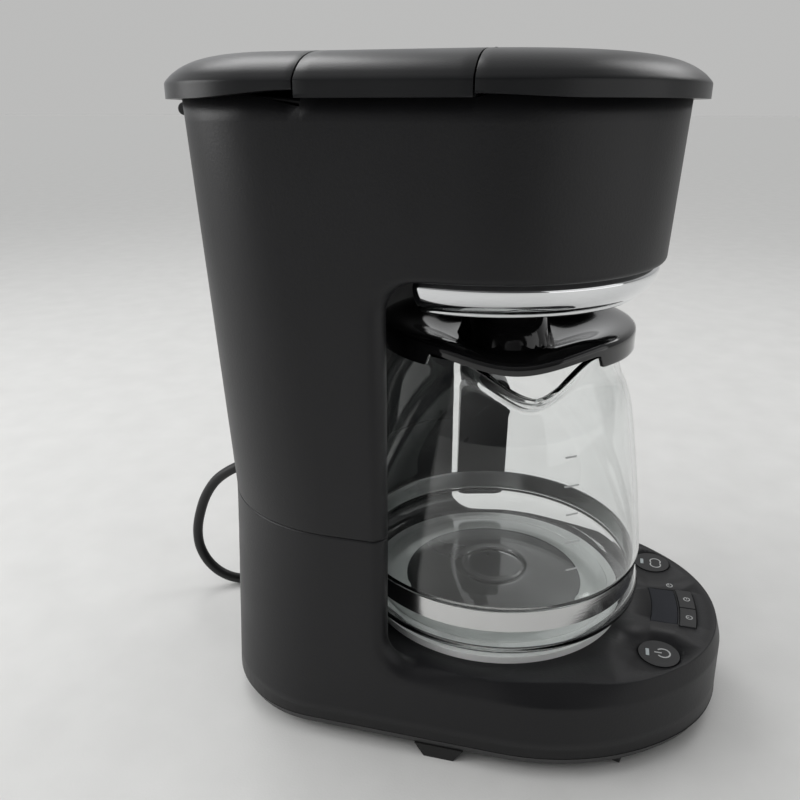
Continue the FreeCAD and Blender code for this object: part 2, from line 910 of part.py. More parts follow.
def rear_ears():
    """Two hinge ears on the back of the upper shell, outside the lid's knuckle."""
    ears = []
    reach = rear_hinge_y - size.rim_back + size.wall
    low = rear_hinge_z - size.rear_barrel
    inner = size.rear_knuckle_half + size.knuckle_gap
    wide = size.rear_barrel_half - inner
    for low_x in (inner, -size.rear_barrel_half):
        ears.append(box(low_x, rear_hinge_y - reach, low, wide, reach, 2 * size.rear_barrel))
        ears.append(cross_rod(size.rear_barrel, low_x, low_x + wide, rear_hinge_y, rear_hinge_z))
    return ears


def build_heating():
    """Warming plate with its seal, and the heater clamped under it."""
    under = plate_z - size.plate_thick
    lip_r = size.plate_radius - size.plate_thick
    plate = turned(([
        (0, under - size.stud_long), (size.stud_radius, under - size.stud_long), (size.stud_radius, under),
        (lip_r, under), (lip_r, plate_z - size.plate_lip), (size.plate_radius, plate_z - size.plate_lip),
        (size.plate_radius, plate_z), (0, plate_z),
    ],))
    keep(plate, "warming_plate", y=size.brew_y)
    seal_in = size.plate_radius + size.rest_gap
    seal = turned(([
        (plate_hole, deck_z), (seal_in + size.seal_width, deck_z),
        (seal_in + size.seal_width, plate_z - size.seal_drop), (seal_in, plate_z - size.seal_drop),
        (seal_in, plate_z - size.plate_lip - size.rest_gap),
        (plate_hole, plate_z - size.plate_lip - size.rest_gap),
    ],))
    keep(seal, "plate_seal", y=size.brew_y)
    tube_z = under - size.heater_tube_r - size.rest_gap / 3
    element_z = tube_z - size.heater_tube_r - size.element_r - size.rest_gap / 3
    tube = heater_arc(size.heater_tube_r, tube_z, size.heater_sweep)
    keep(fuse(tube, *heater_stubs(tube_z)), "heater_tube", y=size.brew_y)
    element = heater_arc(size.element_r, element_z, size.element_sweep)
    keep(group(element), "heating_element", y=size.brew_y)
    clamp_top = element_z - size.element_r - size.rest_gap / 3
    clamp_low = clamp_top - size.clamp_thick
    bar = cut(
        mid_box(0, 0, clamp_low, size.clamp_long, size.clamp_wide, size.clamp_thick),
        rod(size.stud_radius + size.screw_fit, clamp_low - MARGIN, clamp_top + MARGIN),
    )
    keep(bar, "heater_clamp", y=size.brew_y)
    nut = washer(size.stud_radius + size.screw_fit, size.nut_radius, clamp_low - size.nut_high, clamp_low)
    keep(nut, "clamp_nut", y=size.brew_y)
    thermostat = rod(size.thermostat_r, clamp_top, clamp_top + size.thermostat_high, size.sensor_x)
    keep(group(thermostat), "thermostat", y=size.brew_y)
    fuse_mid = -size.sensor_x
    fuse_z = clamp_top + size.fuse_r
    tube = cross_rod(size.fuse_r, fuse_mid - size.fuse_long / 2, fuse_mid + size.fuse_long / 2, 0, fuse_z)
    keep(group(tube), "thermal_fuse", y=size.brew_y)


def heater_arc(radius, z, sweep):
    """A horseshoe bar round the plate's middle, open towards the back."""
    item = doc.addObject("Part::Torus", "Horseshoe")
    bind(item, "Radius1", size.heater_radius)
    bind(item, "Radius2", radius)
    bind(item, "Angle3", sweep)
    opening = 90 + (360 - sweep.number) / 2
    return move(item, z=z, turn=FreeCAD.Rotation(Vector(0, 0, 1), opening))


heater_end = (360 - size.heater_sweep) / 2
stub_x = size.heater_radius * sine(heater_end)
stub_y = size.heater_radius * cosine(heater_end)


def heater_stubs(top):
    """The heater's water inlet and outlet, bent straight down."""
    return [rod(size.stub_radius, size.stub_low, top, side * stub_x, stub_y) for side in (1, -1)]


def bent_path(points, bend):
    """A path of straight runs joined by tangent arcs of one radius."""
    edges = []
    here = points[0]
    for middle, beyond in zip(points[1:-1], points[2:]):
        before = (here - middle).normalize()
        after = (beyond - middle).normalize()
        half_turn = (math.pi - before.getAngle(after)) / 2
        reach = bend * math.tan(half_turn)
        start, stop = middle + before * reach, middle + after * reach
        bisector = (before + after).normalize()
        crown = middle + bisector * (bend / math.cos(half_turn) - bend)
        edges.append(Part.LineSegment(here, start).toShape())
        edges.append(Part.Arc(start, crown, stop).toShape())
        here = stop
    edges.append(Part.LineSegment(here, points[-1]).toShape())
    return Part.Wire(edges)


def swept(path, radius):
    """A round bar along a path."""
    first = path.Edges[0]
    start = first.valueAt(first.FirstParameter)
    along = first.tangentAt(first.FirstParameter)
    ring = Part.Wire([Part.makeCircle(radius, start, along)])
    return path.makePipeShell([ring], True, True)


def spot(x, y, z):
    """A point from sheet formulas."""
    return Vector(Dim.of(x).number, Dim.of(y).number, Dim.of(z).number)


def build_hose(label, points):
    """A silicone hose pushed over the spigots at both ends."""
    path = bent_path(points, size.hose_bend.number)
    bore = size.stub_radius + size.hose_fit
    shape = swept(path, (bore + size.hose_wall).number).cut(swept(path, bore.number))
    item = doc.addObject("Part::Feature", label)
    item.Shape = shape
    keep(item, label)


spray_top = top_deck_top
stub_place_y = size.brew_y + stub_y


def build_water_circuit():
    """Tank, one-way valve, hoses and spray head."""
    tank = cut(
        prism(tank_outline(Dim.of(0)), tank_z, top_deck_z),
        prism(tank_outline(size.tank_wall), tank_z + size.tank_wall, top_deck_z + MARGIN),
        rod(size.spigot_bore, tank_z - MARGIN, tank_z + 2 * size.tank_wall, size.outlet_x, size.outlet_y),
    )
    spigot = washer(size.spigot_bore, size.stub_radius, tank_z - size.spigot_long, tank_z)
    move(spigot, size.outlet_x, size.outlet_y)
    keep(fuse(tank, spigot), "water_tank")
    top = tank_z - size.spigot_long
    low = top - size.check_high
    chamber_r = size.ball_radius + 2 * size.rest_gap
    check = turned(([
        (size.spigot_bore, low - size.spigot_long), (size.stub_radius, low - size.spigot_long),
        (size.stub_radius, low), (size.check_radius, low), (size.check_radius, top),
        (size.spigot_bore, top), (size.spigot_bore, top - size.ball_radius / 2),
        (chamber_r, top - size.ball_radius), (chamber_r, low + size.ball_radius),
        (size.spigot_bore, low + MARGIN),
    ],))
    keep(check, "check_valve", size.outlet_x, size.outlet_y)
    ball = doc.addObject("Part::Sphere", "Ball")
    bind(ball, "Radius", size.ball_radius)
    move(ball, z=(top + low) / 2)
    keep(group(ball), "check_ball", size.outlet_x, size.outlet_y)
    low_z = size.hose_low_z
    stub_end = size.stub_low + size.hose_overlap
    check_end = low - size.spigot_long + size.hose_overlap
    build_hose("cold_water_hose", [
        spot(size.outlet_x, size.outlet_y, check_end),
        spot(size.outlet_x, size.outlet_y, low_z),
        spot(-stub_x, stub_place_y, low_z),
        spot(-stub_x, stub_place_y, stub_end),
    ])
    riser_z = lid_top - size.riser_drop
    spigot_in = size.check_radius + size.rest_gap
    build_hose("hot_water_tube", [
        spot(stub_x, stub_place_y, stub_end),
        spot(stub_x, stub_place_y, low_z),
        spot(riser_x, size.riser_y, low_z),
        spot(riser_x, size.riser_y, riser_z),
        spot(riser_x / 2, size.spray_y, riser_z),
        spot(spigot_in, size.spray_y, riser_z),
    ])
    hub_top = riser_z + size.stub_radius + MARGIN
    disc = cut(
        fuse(
            rod(size.spray_radius, spray_top - size.spray_depth, spray_top),
            rod(size.check_radius, spray_top - MARGIN, hub_top),
            cross_rod(size.stub_radius, 0, spigot_in + size.hose_overlap, 0, riser_z),
        ),
        rod(size.spigot_bore, spray_top - size.spray_depth - MARGIN, riser_z),
        cross_rod(size.spigot_bore, 0, spigot_in + size.hose_overlap + MARGIN, 0, riser_z),
    )
    keep(disc, "spray_head", y=size.spray_y)
    hose_r = size.stub_radius + size.hose_fit + size.hose_wall + size.screw_fit
    high = size.clamp_ring_high
    rings = []
    for x, y, z in (
        (size.outlet_x, size.outlet_y, check_end - high - MARGIN),
        (-stub_x, stub_place_y, stub_end - high - MARGIN),
        (stub_x, stub_place_y, stub_end - high - MARGIN),
    ):
        rings.append(move(washer(hose_r, hose_r + size.clamp_ring, Dim.of(0), high), x, y, z))
    end_ring = washer(hose_r, hose_r + size.clamp_ring, Dim.of(0), high)
    rings.append(move(end_ring, spigot_in + MARGIN, size.spray_y, riser_z, ALONG_X))
    keep(group(*rings), "hose_clamps")


def build_brewing():
    """Top deck, brew chamber, filter basket and mesh filter."""
    inner = size.chamber_radius - size.chamber_wall
    deck = cut(
        prism(rim_outline(size.wall + size.deck_gap), top_deck_z, top_deck_top),
        rod(inner, top_deck_z - MARGIN, top_deck_top + MARGIN, y=size.brew_y),
        prism(tank_outline(size.tank_wall), top_deck_z - MARGIN, top_deck_top + MARGIN),
        rod(size.check_radius + size.hose_wall, top_deck_z - MARGIN, top_deck_top + MARGIN,
            riser_x, size.riser_y),
    )
    keep(deck, "top_deck")
    wall = size.chamber_wall
    cup_z = top_deck_z - size.chamber_wall_high
    funnel_z = cup_z - size.funnel_drop
    end_z = funnel_z - size.outlet_long
    chamber = turned(([
        (size.outlet_bore, end_z), (size.outlet_radius, end_z), (size.outlet_radius, funnel_z),
        (size.funnel_radius, funnel_z), (size.chamber_radius, cup_z), (size.chamber_radius, top_deck_z),
        (inner, top_deck_z), (inner, cup_z), (size.funnel_radius - wall, funnel_z + wall),
        (size.outlet_bore, funnel_z + wall),
    ],))
    keep(chamber, "brew_chamber", y=size.brew_y)
    slope = (size.funnel_drop - wall) / (inner - size.funnel_radius + wall)
    foot_r = inner - size.basket_gap - size.basket_taper
    foot_z = cup_z - (inner - foot_r) * slope + size.rest_gap
    top_r = inner - size.basket_gap
    thin = size.basket_wall
    basket = turned(([
        (size.basket_hole, foot_z), (foot_r, foot_z), (top_r, top_deck_z - MARGIN),
        (top_r - thin, top_deck_z - MARGIN), (foot_r - thin, foot_z + thin),
        (size.basket_hole, foot_z + thin),
    ],))
    keep(basket, "filter_basket", y=size.brew_y)
    mesh_foot = foot_r - thin - size.mesh_gap
    mesh_top = top_r - thin - size.mesh_gap
    mesh_z = foot_z + thin + size.mesh_gap
    fine = size.mesh_wall
    mesh = turned(([
        (0, mesh_z), (mesh_foot, mesh_z), (mesh_top, top_deck_z - 2 * MARGIN),
        (mesh_top - fine, top_deck_z - 2 * MARGIN), (mesh_foot - fine, mesh_z + fine), (0, mesh_z + fine),
    ],))
    keep(mesh, "mesh_filter", y=size.brew_y)
    build_drip_stop(funnel_z, end_z)


def build_drip_stop(funnel_z, end_z):
    """Spring-loaded valve that the carafe's lid pushes up."""
    tip_z = drum_top + size.valve_gap
    tip_top = tip_z + size.valve_tip_high
    seat_z = funnel_z + size.chamber_wall
    disc_z = seat_z + size.seal_thick + size.rest_gap
    disc_top = disc_z + size.valve_disc_thick
    stem = size.valve_stem
    valve = turned(([
        (0, tip_z), (size.valve_tip, tip_z), (size.valve_tip, tip_top), (stem, tip_top),
        (stem, disc_z), (size.valve_disc, disc_z), (size.valve_disc, disc_top), (0, disc_top),
    ],))
    keep(valve, "drip_stop_valve", y=size.brew_y)
    seal = washer(size.outlet_bore, size.outlet_radius, seat_z, seat_z + size.seal_thick)
    keep(seal, "drip_stop_seal", y=size.brew_y)
    wire = size.spring_wire.number
    low = tip_top.number + wire + size.screw_fit.number
    high = end_z.number - wire - size.screw_fit.number
    turns = size.spring_turns.number
    helix = Part.makeHelix((high - low) / turns, high - low, size.spring_radius.number)
    start = helix.Edges[0].valueAt(helix.Edges[0].FirstParameter)
    along = helix.Edges[0].tangentAt(helix.Edges[0].FirstParameter)
    ring = Part.Wire([Part.makeCircle(wire, start, along)])
    spring = doc.addObject("Part::Feature", "drip_stop_spring")
    spring.Shape = Part.Wire(helix.Edges).makePipeShell([ring], True, True)
    keep(spring, "drip_stop_spring", y=size.brew_y, z=low)


def build_chrome_ring():
    """Bright bowl-shaped ring under the head, open towards the column."""
    low = head_z - size.ring_high
    wall = size.ring_wall
    drop = size.ring_high
    top_r, low_r = size.ring_radius, size.ring_low_radius
    lean = top_r - low_r
    ring = turned(([
        (low_r - wall, low), (low_r, low), (low_r + lean * 0.12, low + drop * 0.12),
        (low_r + lean * 0.55, low + drop * 0.3), (top_r - lean * 0.1, low + drop * 0.65), (top_r, head_z),
        (top_r - wall, head_z), (top_r - wall - lean * 0.1, low + drop * 0.65),
        (low_r - wall + lean * 0.55, low + drop * 0.3 + wall / 2), (low_r - wall, low + drop * 0.18),
    ],), size.ring_sweep)
    keep(ring, "chrome_ring", y=size.ring_y, turn=FreeCAD.Rotation(Vector(0, 0, 1), -90))


def lid_shell(inset, drop):
    """The closed lids as one crowned solid, or its hollow when inset."""
    shoulder_z = skirt_z + size.shoulder_rise
    return fuse(
        prism(lid_outline(inset), rim_z - drop, skirt_z - drop),
        loft(lid_outline(inset), skirt_z - drop, lid_outline(size.shoulder_inset + inset), shoulder_z - drop),
        loft(
            lid_outline(size.shoulder_inset + inset), shoulder_z - drop,
            lid_outline(size.top_inset), lid_top - drop,
        ),
    )


def lid_slice(shell, low_y, high_y):
    """The part of the crowned shell between two seams."""
    wide = 2 * (lid_half + MARGIN)
    room = box(-lid_half - MARGIN, low_y, rim_z - MARGIN, wide, Dim.of(high_y) - low_y, lid_top - rim_z + 2)
    return common(shell, room)


front_hinge_y = size.front_seam_y - size.lid_gap / 2 - size.front_barrel
front_hinge_z = lid_top - size.front_barrel


def front_pin_rod(grow):
    """The front lid's hinge pin, or its hole when grown."""
    half = size.front_barrel_half - MARGIN + grow * MARGIN
    return cross_rod(size.front_pin + grow, -half, half, front_hinge_y, front_hinge_z)


def build_lids():
    """Fixed bridge across the top, with the filter lid in front of it and the tank lid behind."""
    gap = size.lid_gap / 2
    shell = cut(lid_shell(Dim.of(0), Dim.of(0)), lid_shell(size.lid_wall, size.lid_wall))
    front_y = size.head_y - lid_half - MARGIN
    seam_y = size.front_seam_y + gap
    barrel = size.front_barrel
    knuckle = size.front_knuckle_half
    rib_half = size.body_half - size.top_inset
    rib_high = lid_top - size.lid_wall / 2 - top_deck_top
    ribs = []
    for y in (seam_y, size.rear_seam_y - gap - size.rib_thick):
        ribs.append(box(-rib_half, y, top_deck_top, 2 * rib_half, size.rib_thick, rib_high))
    reach = seam_y + MARGIN - front_hinge_y
    tongue = box(-knuckle, front_hinge_y, front_hinge_z - barrel, 2 * knuckle, reach, 2 * barrel)
    eye = cross_rod(barrel, -knuckle, knuckle, front_hinge_y, front_hinge_z)
    bridge = lid_slice(shell, seam_y, size.rear_seam_y - gap)
    keep(cut(fuse(bridge, tongue, eye, *ribs), front_pin_rod(size.pin_fit)), "lid_bridge")
    keep(group(front_pin_rod(Dim.of(0))), "front_hinge_pin")
    free_half = knuckle + size.knuckle_gap
    barrel_half = size.front_barrel_half
    room_half = barrel_half + size.knuckle_gap
    low = front_hinge_z - barrel - size.knuckle_gap
    behind = box(-room_half, front_hinge_y, low, 2 * room_half, 2 * barrel, 3 * barrel)
    notch = box(
        -free_half, front_hinge_y - barrel - size.knuckle_gap, low, 2 * free_half, 2 * barrel, 3 * barrel,
    )
    barrels = []
    for low_x in (free_half, -barrel_half):
        high_x = low_x + barrel_half - free_half
        barrels.append(cross_rod(barrel, low_x, high_x, front_hinge_y, front_hinge_z))
    front = cut(lid_slice(shell, front_y, size.front_seam_y - gap), behind, notch)
    keep(cut(fuse(front, *barrels), front_pin_rod(size.pin_fit)), "front_lid")
    build_rear_lid(shell, gap)


def build_rear_lid(crown, gap):
    """Tank lid, hinged on the back of the upper shell."""
    shell = lid_slice(crown, size.rear_seam_y + gap, lid_back + MARGIN)
    knuckle = size.rear_knuckle_half
    deep = 2 * size.rear_barrel
    arm = box(
        -knuckle, rear_hinge_y - size.rear_barrel, rear_hinge_z, 2 * knuckle, deep,
        skirt_z - rear_hinge_z,
    )
    eye = cross_rod(size.rear_barrel, -knuckle, knuckle, rear_hinge_y, rear_hinge_z)
    keep(cut(fuse(shell, arm, eye), rear_pin_rod(size.pin_fit)), "rear_lid")
    keep(group(rear_pin_rod(Dim.of(0))), "rear_hinge_pin")


def build_controls():
    """Buttons, display, circuit board and switches under the deck."""
    cap_top = deck_z + size.button_proud
    cap_low = deck_z - size.button_cap
    lip_top = deck_z - size.wall - size.rest_gap
    pin_top = board_top + size.switch_high + size.switch_pin_high
    stem_low = pin_top + size.button_travel + size.rest_gap
    deep = size.light_wide + 2 * size.lcd_gap
    for name, (x, y) in zip(("power", "strength"), button_spots):
        cap = turned(([
            (0, stem_low), (size.button_stem, stem_low), (size.button_stem, cap_low),
            (size.button_radius + size.button_lip, cap_low), (size.button_radius + size.button_lip, lip_top),
            (size.button_radius, lip_top), (size.button_radius, cap_top), (0, cap_top),
        ],))
        slot = mid_box(0, size.light_y, lip_top, size.light_long + 2 * size.lcd_gap, deep, size.button_cap)
        keep(cut(cap, slot), f"{name}_button", x, y)
        window = mid_box(0, size.light_y, lip_top, size.light_long, size.light_wide, cap_top - lip_top)
        keep(group(window), f"{name}_light", x, y)
    for name, (x, y) in zip(("hour", "minute"), key_spots):
        wide, depth = size.key_wide, size.key_deep
        cap = mid_box(0, 0, cap_low, wide, depth, cap_top - cap_low)
        lip = mid_box(0, -size.button_lip / 2, cap_low, wide, depth + size.button_lip, lip_top - cap_low)
        stem = rod(size.button_stem, stem_low, cap_low)
        keep(fuse(cap, lip, stem), f"{name}_button", x, y)
    lens_low = deck_z - size.lens_thick
    lens = mid_box(0, size.lcd_y, lens_low, 2 * size.lcd_half, size.lcd_deep, size.lens_thick)
    keep(group(lens), "lcd_window")
    module = mid_box(0, size.lcd_y, board_top, 2 * size.lcd_half, size.lcd_deep, lens_low - board_top)
    keep(group(module), "lcd_module")
    half, nose = size.board_half, size.board_nose_half
    board = [
        (half, size.board_mid_y), (half, size.board_back_y), (-half, size.board_back_y),
        (-half, size.board_mid_y), (-nose, size.board_nose_y), (nose, size.board_nose_y),
    ]
    keep(prism((board,), board_z, board_top), "control_board")
    switches = []
    for x, y in button_spots + key_spots:
        body = mid_box(x, y, board_top, size.switch_side, size.switch_side, size.switch_high)
        switches.append(fuse(body, rod(size.switch_pin, board_top, pin_top, x, y)))
    keep(group(*switches), "tact_switches")


def glass_profile(inset):
    """Half outline of the carafe's glass, outside or, when inset, inside."""
    foot = glass_z + inset
    band_low, band_high = glass_z + size.band_low, glass_z + size.band_high
    return [
        (0, foot + size.punt_high), (size.punt_r, foot + size.punt_high),
        (stand_r, foot), (size.glass_base_r, foot),
        (size.glass_foot_r - inset, glass_z + size.glass_foot_high),
        (size.glass_band_r - inset, band_low), (size.glass_band_r - inset, band_high),
        (size.glass_body_r - inset, glass_z + size.glass_body_low),
        (size.shoulder_r - inset, glass_z + shoulder_high),
        (size.neck_r - inset, glass_z + neck_high), (size.rim_r - inset, glass_top),
    ]


def glass_solid(inset, top):
    """The carafe filled solid, to its outside or its inside."""
    points = glass_profile(inset) + [(size.rim_r - inset, top), (0, top)]
    if inset.number == 0:
        points = glass_profile(inset) + [(0, top)]
    bends = {
        3: (size.glass_foot_r - size.glass_base_r + size.rest_gap, False),
        7: (size.glass_side_bend - inset, False),
        8: (size.shoulder_bend - inset, False),
    }
    spout = cone(
        MARGIN, size.spout_r - inset, glass_z + spout_low + 2 * inset, top, -size.spout_out
    )
    return fuse(turned((points, bends)), spout)


def build_carafe():
    """Glass carafe with its steel band, handle and lid, turned as it stands on the plate."""
    zero = Dim.of(0)
    place = {"y": size.brew_y, "turn": about_z(size.handle_turn)}
    glass = cut(glass_solid(zero, glass_top), glass_solid(size.glass_wall, glass_top + MARGIN))
    keep(glass, "carafe_glass", **place)
    band_in = size.glass_band_r + size.band_gap
    band_out = band_in + size.band_thick
    band_z = glass_z + size.band_low + size.rest_gap
    band_top = glass_z + size.band_high - size.rest_gap
    keep(washer(band_in, band_out, band_z, band_top), "carafe_band", **place)
    low = glass_z + size.handle_low
    high = glass_z + handle_top
    wide, grip = size.handle_wide, size.grip_wide
    slab_z = glass_z + size.slab_low
    slab_deep = size.slab_out - size.neck_r
    slab = box(size.neck_r, -wide / 2, slab_z, slab_deep, wide, size.slab_high - size.slab_low)
    arm_long = size.grip_out - size.slab_out
    lower_arm = box(size.slab_out - MARGIN, -grip / 2, low, arm_long, grip, size.arm_high)
    hand = box(size.grip_in, -grip / 2, low, size.grip_out - size.grip_in, grip, high - low)
    upper_arm = box(
        size.neck_r, -grip / 2, high - size.arm_high, size.grip_out - size.neck_r, grip, size.arm_high
    )
    clear = glass_profile(zero - size.handle_gap)[4:]
    clear[1:3] = [(band_out + size.handle_gap, clear[1][1]), (band_out + size.handle_gap, clear[2][1])]
    away = turned(([(0, clear[0][1] - MARGIN)] + [(clear[0][0], clear[0][1] - MARGIN)] + clear + [
        (size.rim_r + size.handle_gap, glass_top + MARGIN), (0, glass_top + MARGIN),
    ], {
        5: (size.glass_side_bend + size.handle_gap, False),
        6: (size.shoulder_bend + size.handle_gap, False),
    }))
    screw_z = (band_z + band_top) / 2
    screw_hole = cross_rod(
        size.band_screw_r + size.screw_fit, size.neck_r, size.slab_out + MARGIN, 0, screw_z,
    )
    head_room = cross_rod(
        size.band_screw_head + size.rest_gap, size.slab_out - 2 * MARGIN, size.grip_out + MARGIN, 0, screw_z
    )
    handle = cut(fuse(slab, lower_arm, hand, upper_arm), away, screw_hole, head_room)
    keep(handle, "carafe_handle", **place)
    screw_in = band_out + size.band_gap
    screw = fuse(
        cross_rod(size.band_screw_r, screw_in, size.slab_out, 0, screw_z),
        cross_rod(size.band_screw_head, size.slab_out - 2 * MARGIN, size.slab_out, 0, screw_z),
    )
    keep(screw, "band_screw", **place)
    build_carafe_lid(place)


def build_carafe_lid(place):
    """Carafe lid: a cap with a raised drum, cut away over the spout."""
    thin = size.cap_wall
    skirt_r = size.cap_skirt_r + thin
    skirt_low = glass_top - size.cap_skirt
    plug_low = glass_top - size.plug_skirt
    dish_z = flange_top - size.cap_dish
    cap = turned(([
        (size.drum_hole, drum_top - thin), (size.drum_r - thin, drum_top - thin),
        (size.drum_r - thin, dish_z - thin),
        (size.plug_r - thin, flange_z), (size.plug_r - thin, plug_low), (size.plug_r, plug_low),
        (size.plug_r, flange_z), (size.cap_skirt_r, flange_z), (size.cap_skirt_r, skirt_low),
        (skirt_r, skirt_low), (skirt_r, flange_top - thin), (size.plug_r, flange_top),
        (size.drum_r + thin, dish_z), (size.drum_r, dish_z + thin), (size.drum_r, drum_top),
        (size.drum_hole, drum_top),
    ],))
    over_spout = box(
        -skirt_r - MARGIN, -size.cap_cut_half, skirt_low - MARGIN,
        skirt_r + MARGIN - size.plug_r / 2, 2 * size.cap_cut_half, flange_z - skirt_low + MARGIN,
    )
    skirt_ring = washer(size.plug_r + size.rest_gap, skirt_r + MARGIN, skirt_low - MARGIN, flange_z)
    keep(cut(cap, common(over_spout, skirt_ring)), "carafe_lid", **place)


relief_axis = SimpleNamespace(
    turn=FreeCAD.Rotation(Vector(1, 0, 0), -90 - size.relief_tilt.number),
    y=cosine(size.relief_tilt),
    z=-sine(size.relief_tilt),
)


def relief_bar(radius, start, stop, end_radius=None):
    """A round bar, or a cone, along the cord's slanted way out of the back."""
    kind = "Part::Cylinder" if end_radius is None else "Part::Cone"
    item = doc.addObject(kind, "ReliefBar")
    if end_radius is None:
        bind(item, "Radius", radius)
    else:
        bind(item, "Radius1", radius)
        bind(item, "Radius2", end_radius)
    bind(item, "Height", Dim.of(stop) - start)
    return move(
        item, size.cord_x, relief_y + relief_axis.y * start, size.relief_z + relief_axis.z * start,
        relief_axis.turn,
    )


# The cord's way from the strain relief, in an arc to the table and along it to the coil. The cord's
# middle lies one radius above the table.
CORD_ROUTE = [
    (21.3, 133.3, 81.4),
    (21.5, 145.2, 66.5),
    (21.7, 151.8, 49.5),
    (21.9, 154.4, 37.0),
    (22.0, 153.6, 26.0),
    (22.5, 148.4, 15.2),
    (24.3, 139.7, 7.2),
    (28.2, 129.1, 3.0),
    (34.2, 118.7, 3.0),
    (43.7, 111.3, 3.0),
    (55.2, 108.0, 3.0),
    (67.6, 109.3, 3.0),
    (79.5, 114.6, 3.0),
    (89.7, 122.6, 3.0),
    (100.0, 131.3, 3.0),
]
COIL_ENTRY = 125.0
BEND_SHARE = 0.45


def free_path(points):
    """A cord's path: each bend is as large as its two runs allow. Prints the radii."""
    edges = []
    radii = []
    here = points[0]
    for before_spot, middle, beyond in zip(points, points[1:], points[2:]):
        before = (before_spot - middle).normalize()
        after = (beyond - middle).normalize()
        half_turn = (math.pi - before.getAngle(after)) / 2
        reach = BEND_SHARE * min(before_spot.distanceToPoint(middle), middle.distanceToPoint(beyond))
        bend = reach / math.tan(half_turn)
        crown = middle + (before + after).normalize() * (bend / math.cos(half_turn) - bend)
        start, stop = middle + before * reach, middle + after * reach
        edges.append(Part.LineSegment(here, start).toShape())
        edges.append(Part.Arc(start, crown, stop).toShape())
        radii.append(round(bend, 1))
        here = stop
    edges.append(Part.LineSegment(here, points[-1]).toShape())
    print("cord bend radii", radii)
    return Part.Wire(edges)


def build_cord():
    """Mains cord with its strain relief, tied coil and plug."""
    outside = fuse(
        relief_bar(size.relief_wide, Dim.of(0), size.relief_long, size.relief_narrow),
        relief_bar(size.relief_flange, Dim.of(0), size.relief_flange_thick),
    )
    relief = cut(outside, relief_bar(size.cord_r + size.cord_fit, -MARGIN, size.relief_long + MARGIN))
    keep(relief, "strain_relief")
    start = spot(
        size.cord_x, relief_y + relief_axis.y * size.relief_long,
        size.relief_z + relief_axis.z * size.relief_long,
    )
    entry = math.radians(COIL_ENTRY)
    coil_r = size.coil_r.number
    stop = spot(size.coil_x, size.coil_y, size.cord_r) + Vector(math.cos(entry), math.sin(entry), 0) * coil_r
    path = free_path([start] + [Vector(*place) for place in CORD_ROUTE] + [stop])
    radius = size.cord_r.number
    leave = math.radians(size.plug_turn.number)
    tail_start = spot(size.coil_x, size.coil_y, size.plug_high / 2)
    tail_start += Vector(math.cos(leave), math.sin(leave), 0) * coil_r
    tail_stop = tail_start + Vector(math.sin(leave), -math.cos(leave), 0) * size.plug_run.number
    tail = swept(Part.Wire([Part.LineSegment(tail_start, tail_stop).toShape()]), radius)
    cord = doc.addObject("Part::Feature", "power_cord")
    cord.Shape = Part.makeCompound([swept(path, radius), tail])
    length = path.Length + size.plug_run.number
    print("cord volume", cord.Shape.Volume, "section times length", math.pi * radius * radius * length)
    keep(cord, "power_cord")
    low, high = size.coil_low, size.coil_low + size.coil_high
    inner, outer = size.coil_r - size.coil_half, size.coil_r + size.coil_half
    keep(washer(inner, outer, low, high), "cord_coil", size.coil_x, size.coil_y)
    thick = size.tie_thick
    room = size.rest_gap
    wide = outer - inner
    tie = cut(
        box(inner - thick - room, -size.tie_wide / 2, low - thick - room,
            wide + 2 * (thick + room), size.tie_wide, high - low + 2 * (thick + room)),
        box(
            inner - room, -size.tie_wide, low - room,
            wide + 2 * room, 2 * size.tie_wide, high - low + 2 * room,
        ),
    )
    keep(tie, "cord_tie", size.coil_x, size.coil_y, turn=about_z(size.tie_angle))
    build_plug()


def build_plug():
    """Two-blade plug lying beside the coil, its tail towards the cord."""
    leave = size.plug_turn
    mid_z = size.plug_high / 2
    long, wide = size.plug_long, size.plug_wide
    reach = size.plug_run + size.plug_tail + long / 2
    x = size.coil_x + size.coil_r * cosine(leave) + reach * sine(leave)
    y = size.coil_y + size.coil_r * sine(leave) - reach * cosine(leave)
    body = mid_box(0, 0, 0, wide, long, size.plug_high)
    tail = doc.addObject("Part::Cone", "Tail")
    bind(tail, "Radius1", size.plug_tail_r + size.cord_r / 2)
    bind(tail, "Radius2", size.plug_tail_r - size.cord_r / 2)
    bind(tail, "Height", size.plug_tail)
    move(tail, 0, long / 2, mid_z, ALONG_Y)
    keep(fuse(body, tail), "power_plug", x, y, turn=about_z(size.plug_turn))
    blades = []
    for side in (1, -1):
        low_x = side * size.blade_apart / 2 - size.blade_thick / 2
        blades.append(box(
            low_x, -long / 2 - size.blade_long, mid_z - size.blade_wide / 2,
            size.blade_thick, size.blade_long, size.blade_wide,
        ))
    keep(group(*blades), "plug_pins", x, y, turn=about_z(size.plug_turn))


build_base_plate()
build_feet()
build_base_screws()
build_lower_housing()
build_upper_housing()
build_heating()
build_water_circuit()
build_brewing()
build_chrome_ring()
build_lids()
build_controls()
build_carafe()
build_cord()
doc.recompute()

faults = [item.Name for item in doc.Objects if {"Invalid", "Error"} & set(item.State)]
for item in sub_parts:
    if item.Shape.isNull() or not item.Shape.isValid() or item.Shape.Volume <= 0:
        faults.append(item.Label)
if faults:
    raise RuntimeError(f"failed objects: {faults}")

os.makedirs("parts", exist_ok=True)
for item in sub_parts:
    item.Shape.exportStep(os.path.join("parts", f"{item.Label}.step"))
print(len(sub_parts), "sub-parts written")
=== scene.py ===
import logging
import math
from dataclasses import astuple, dataclass
from enum import Enum
from typing import Iterable, Sequence

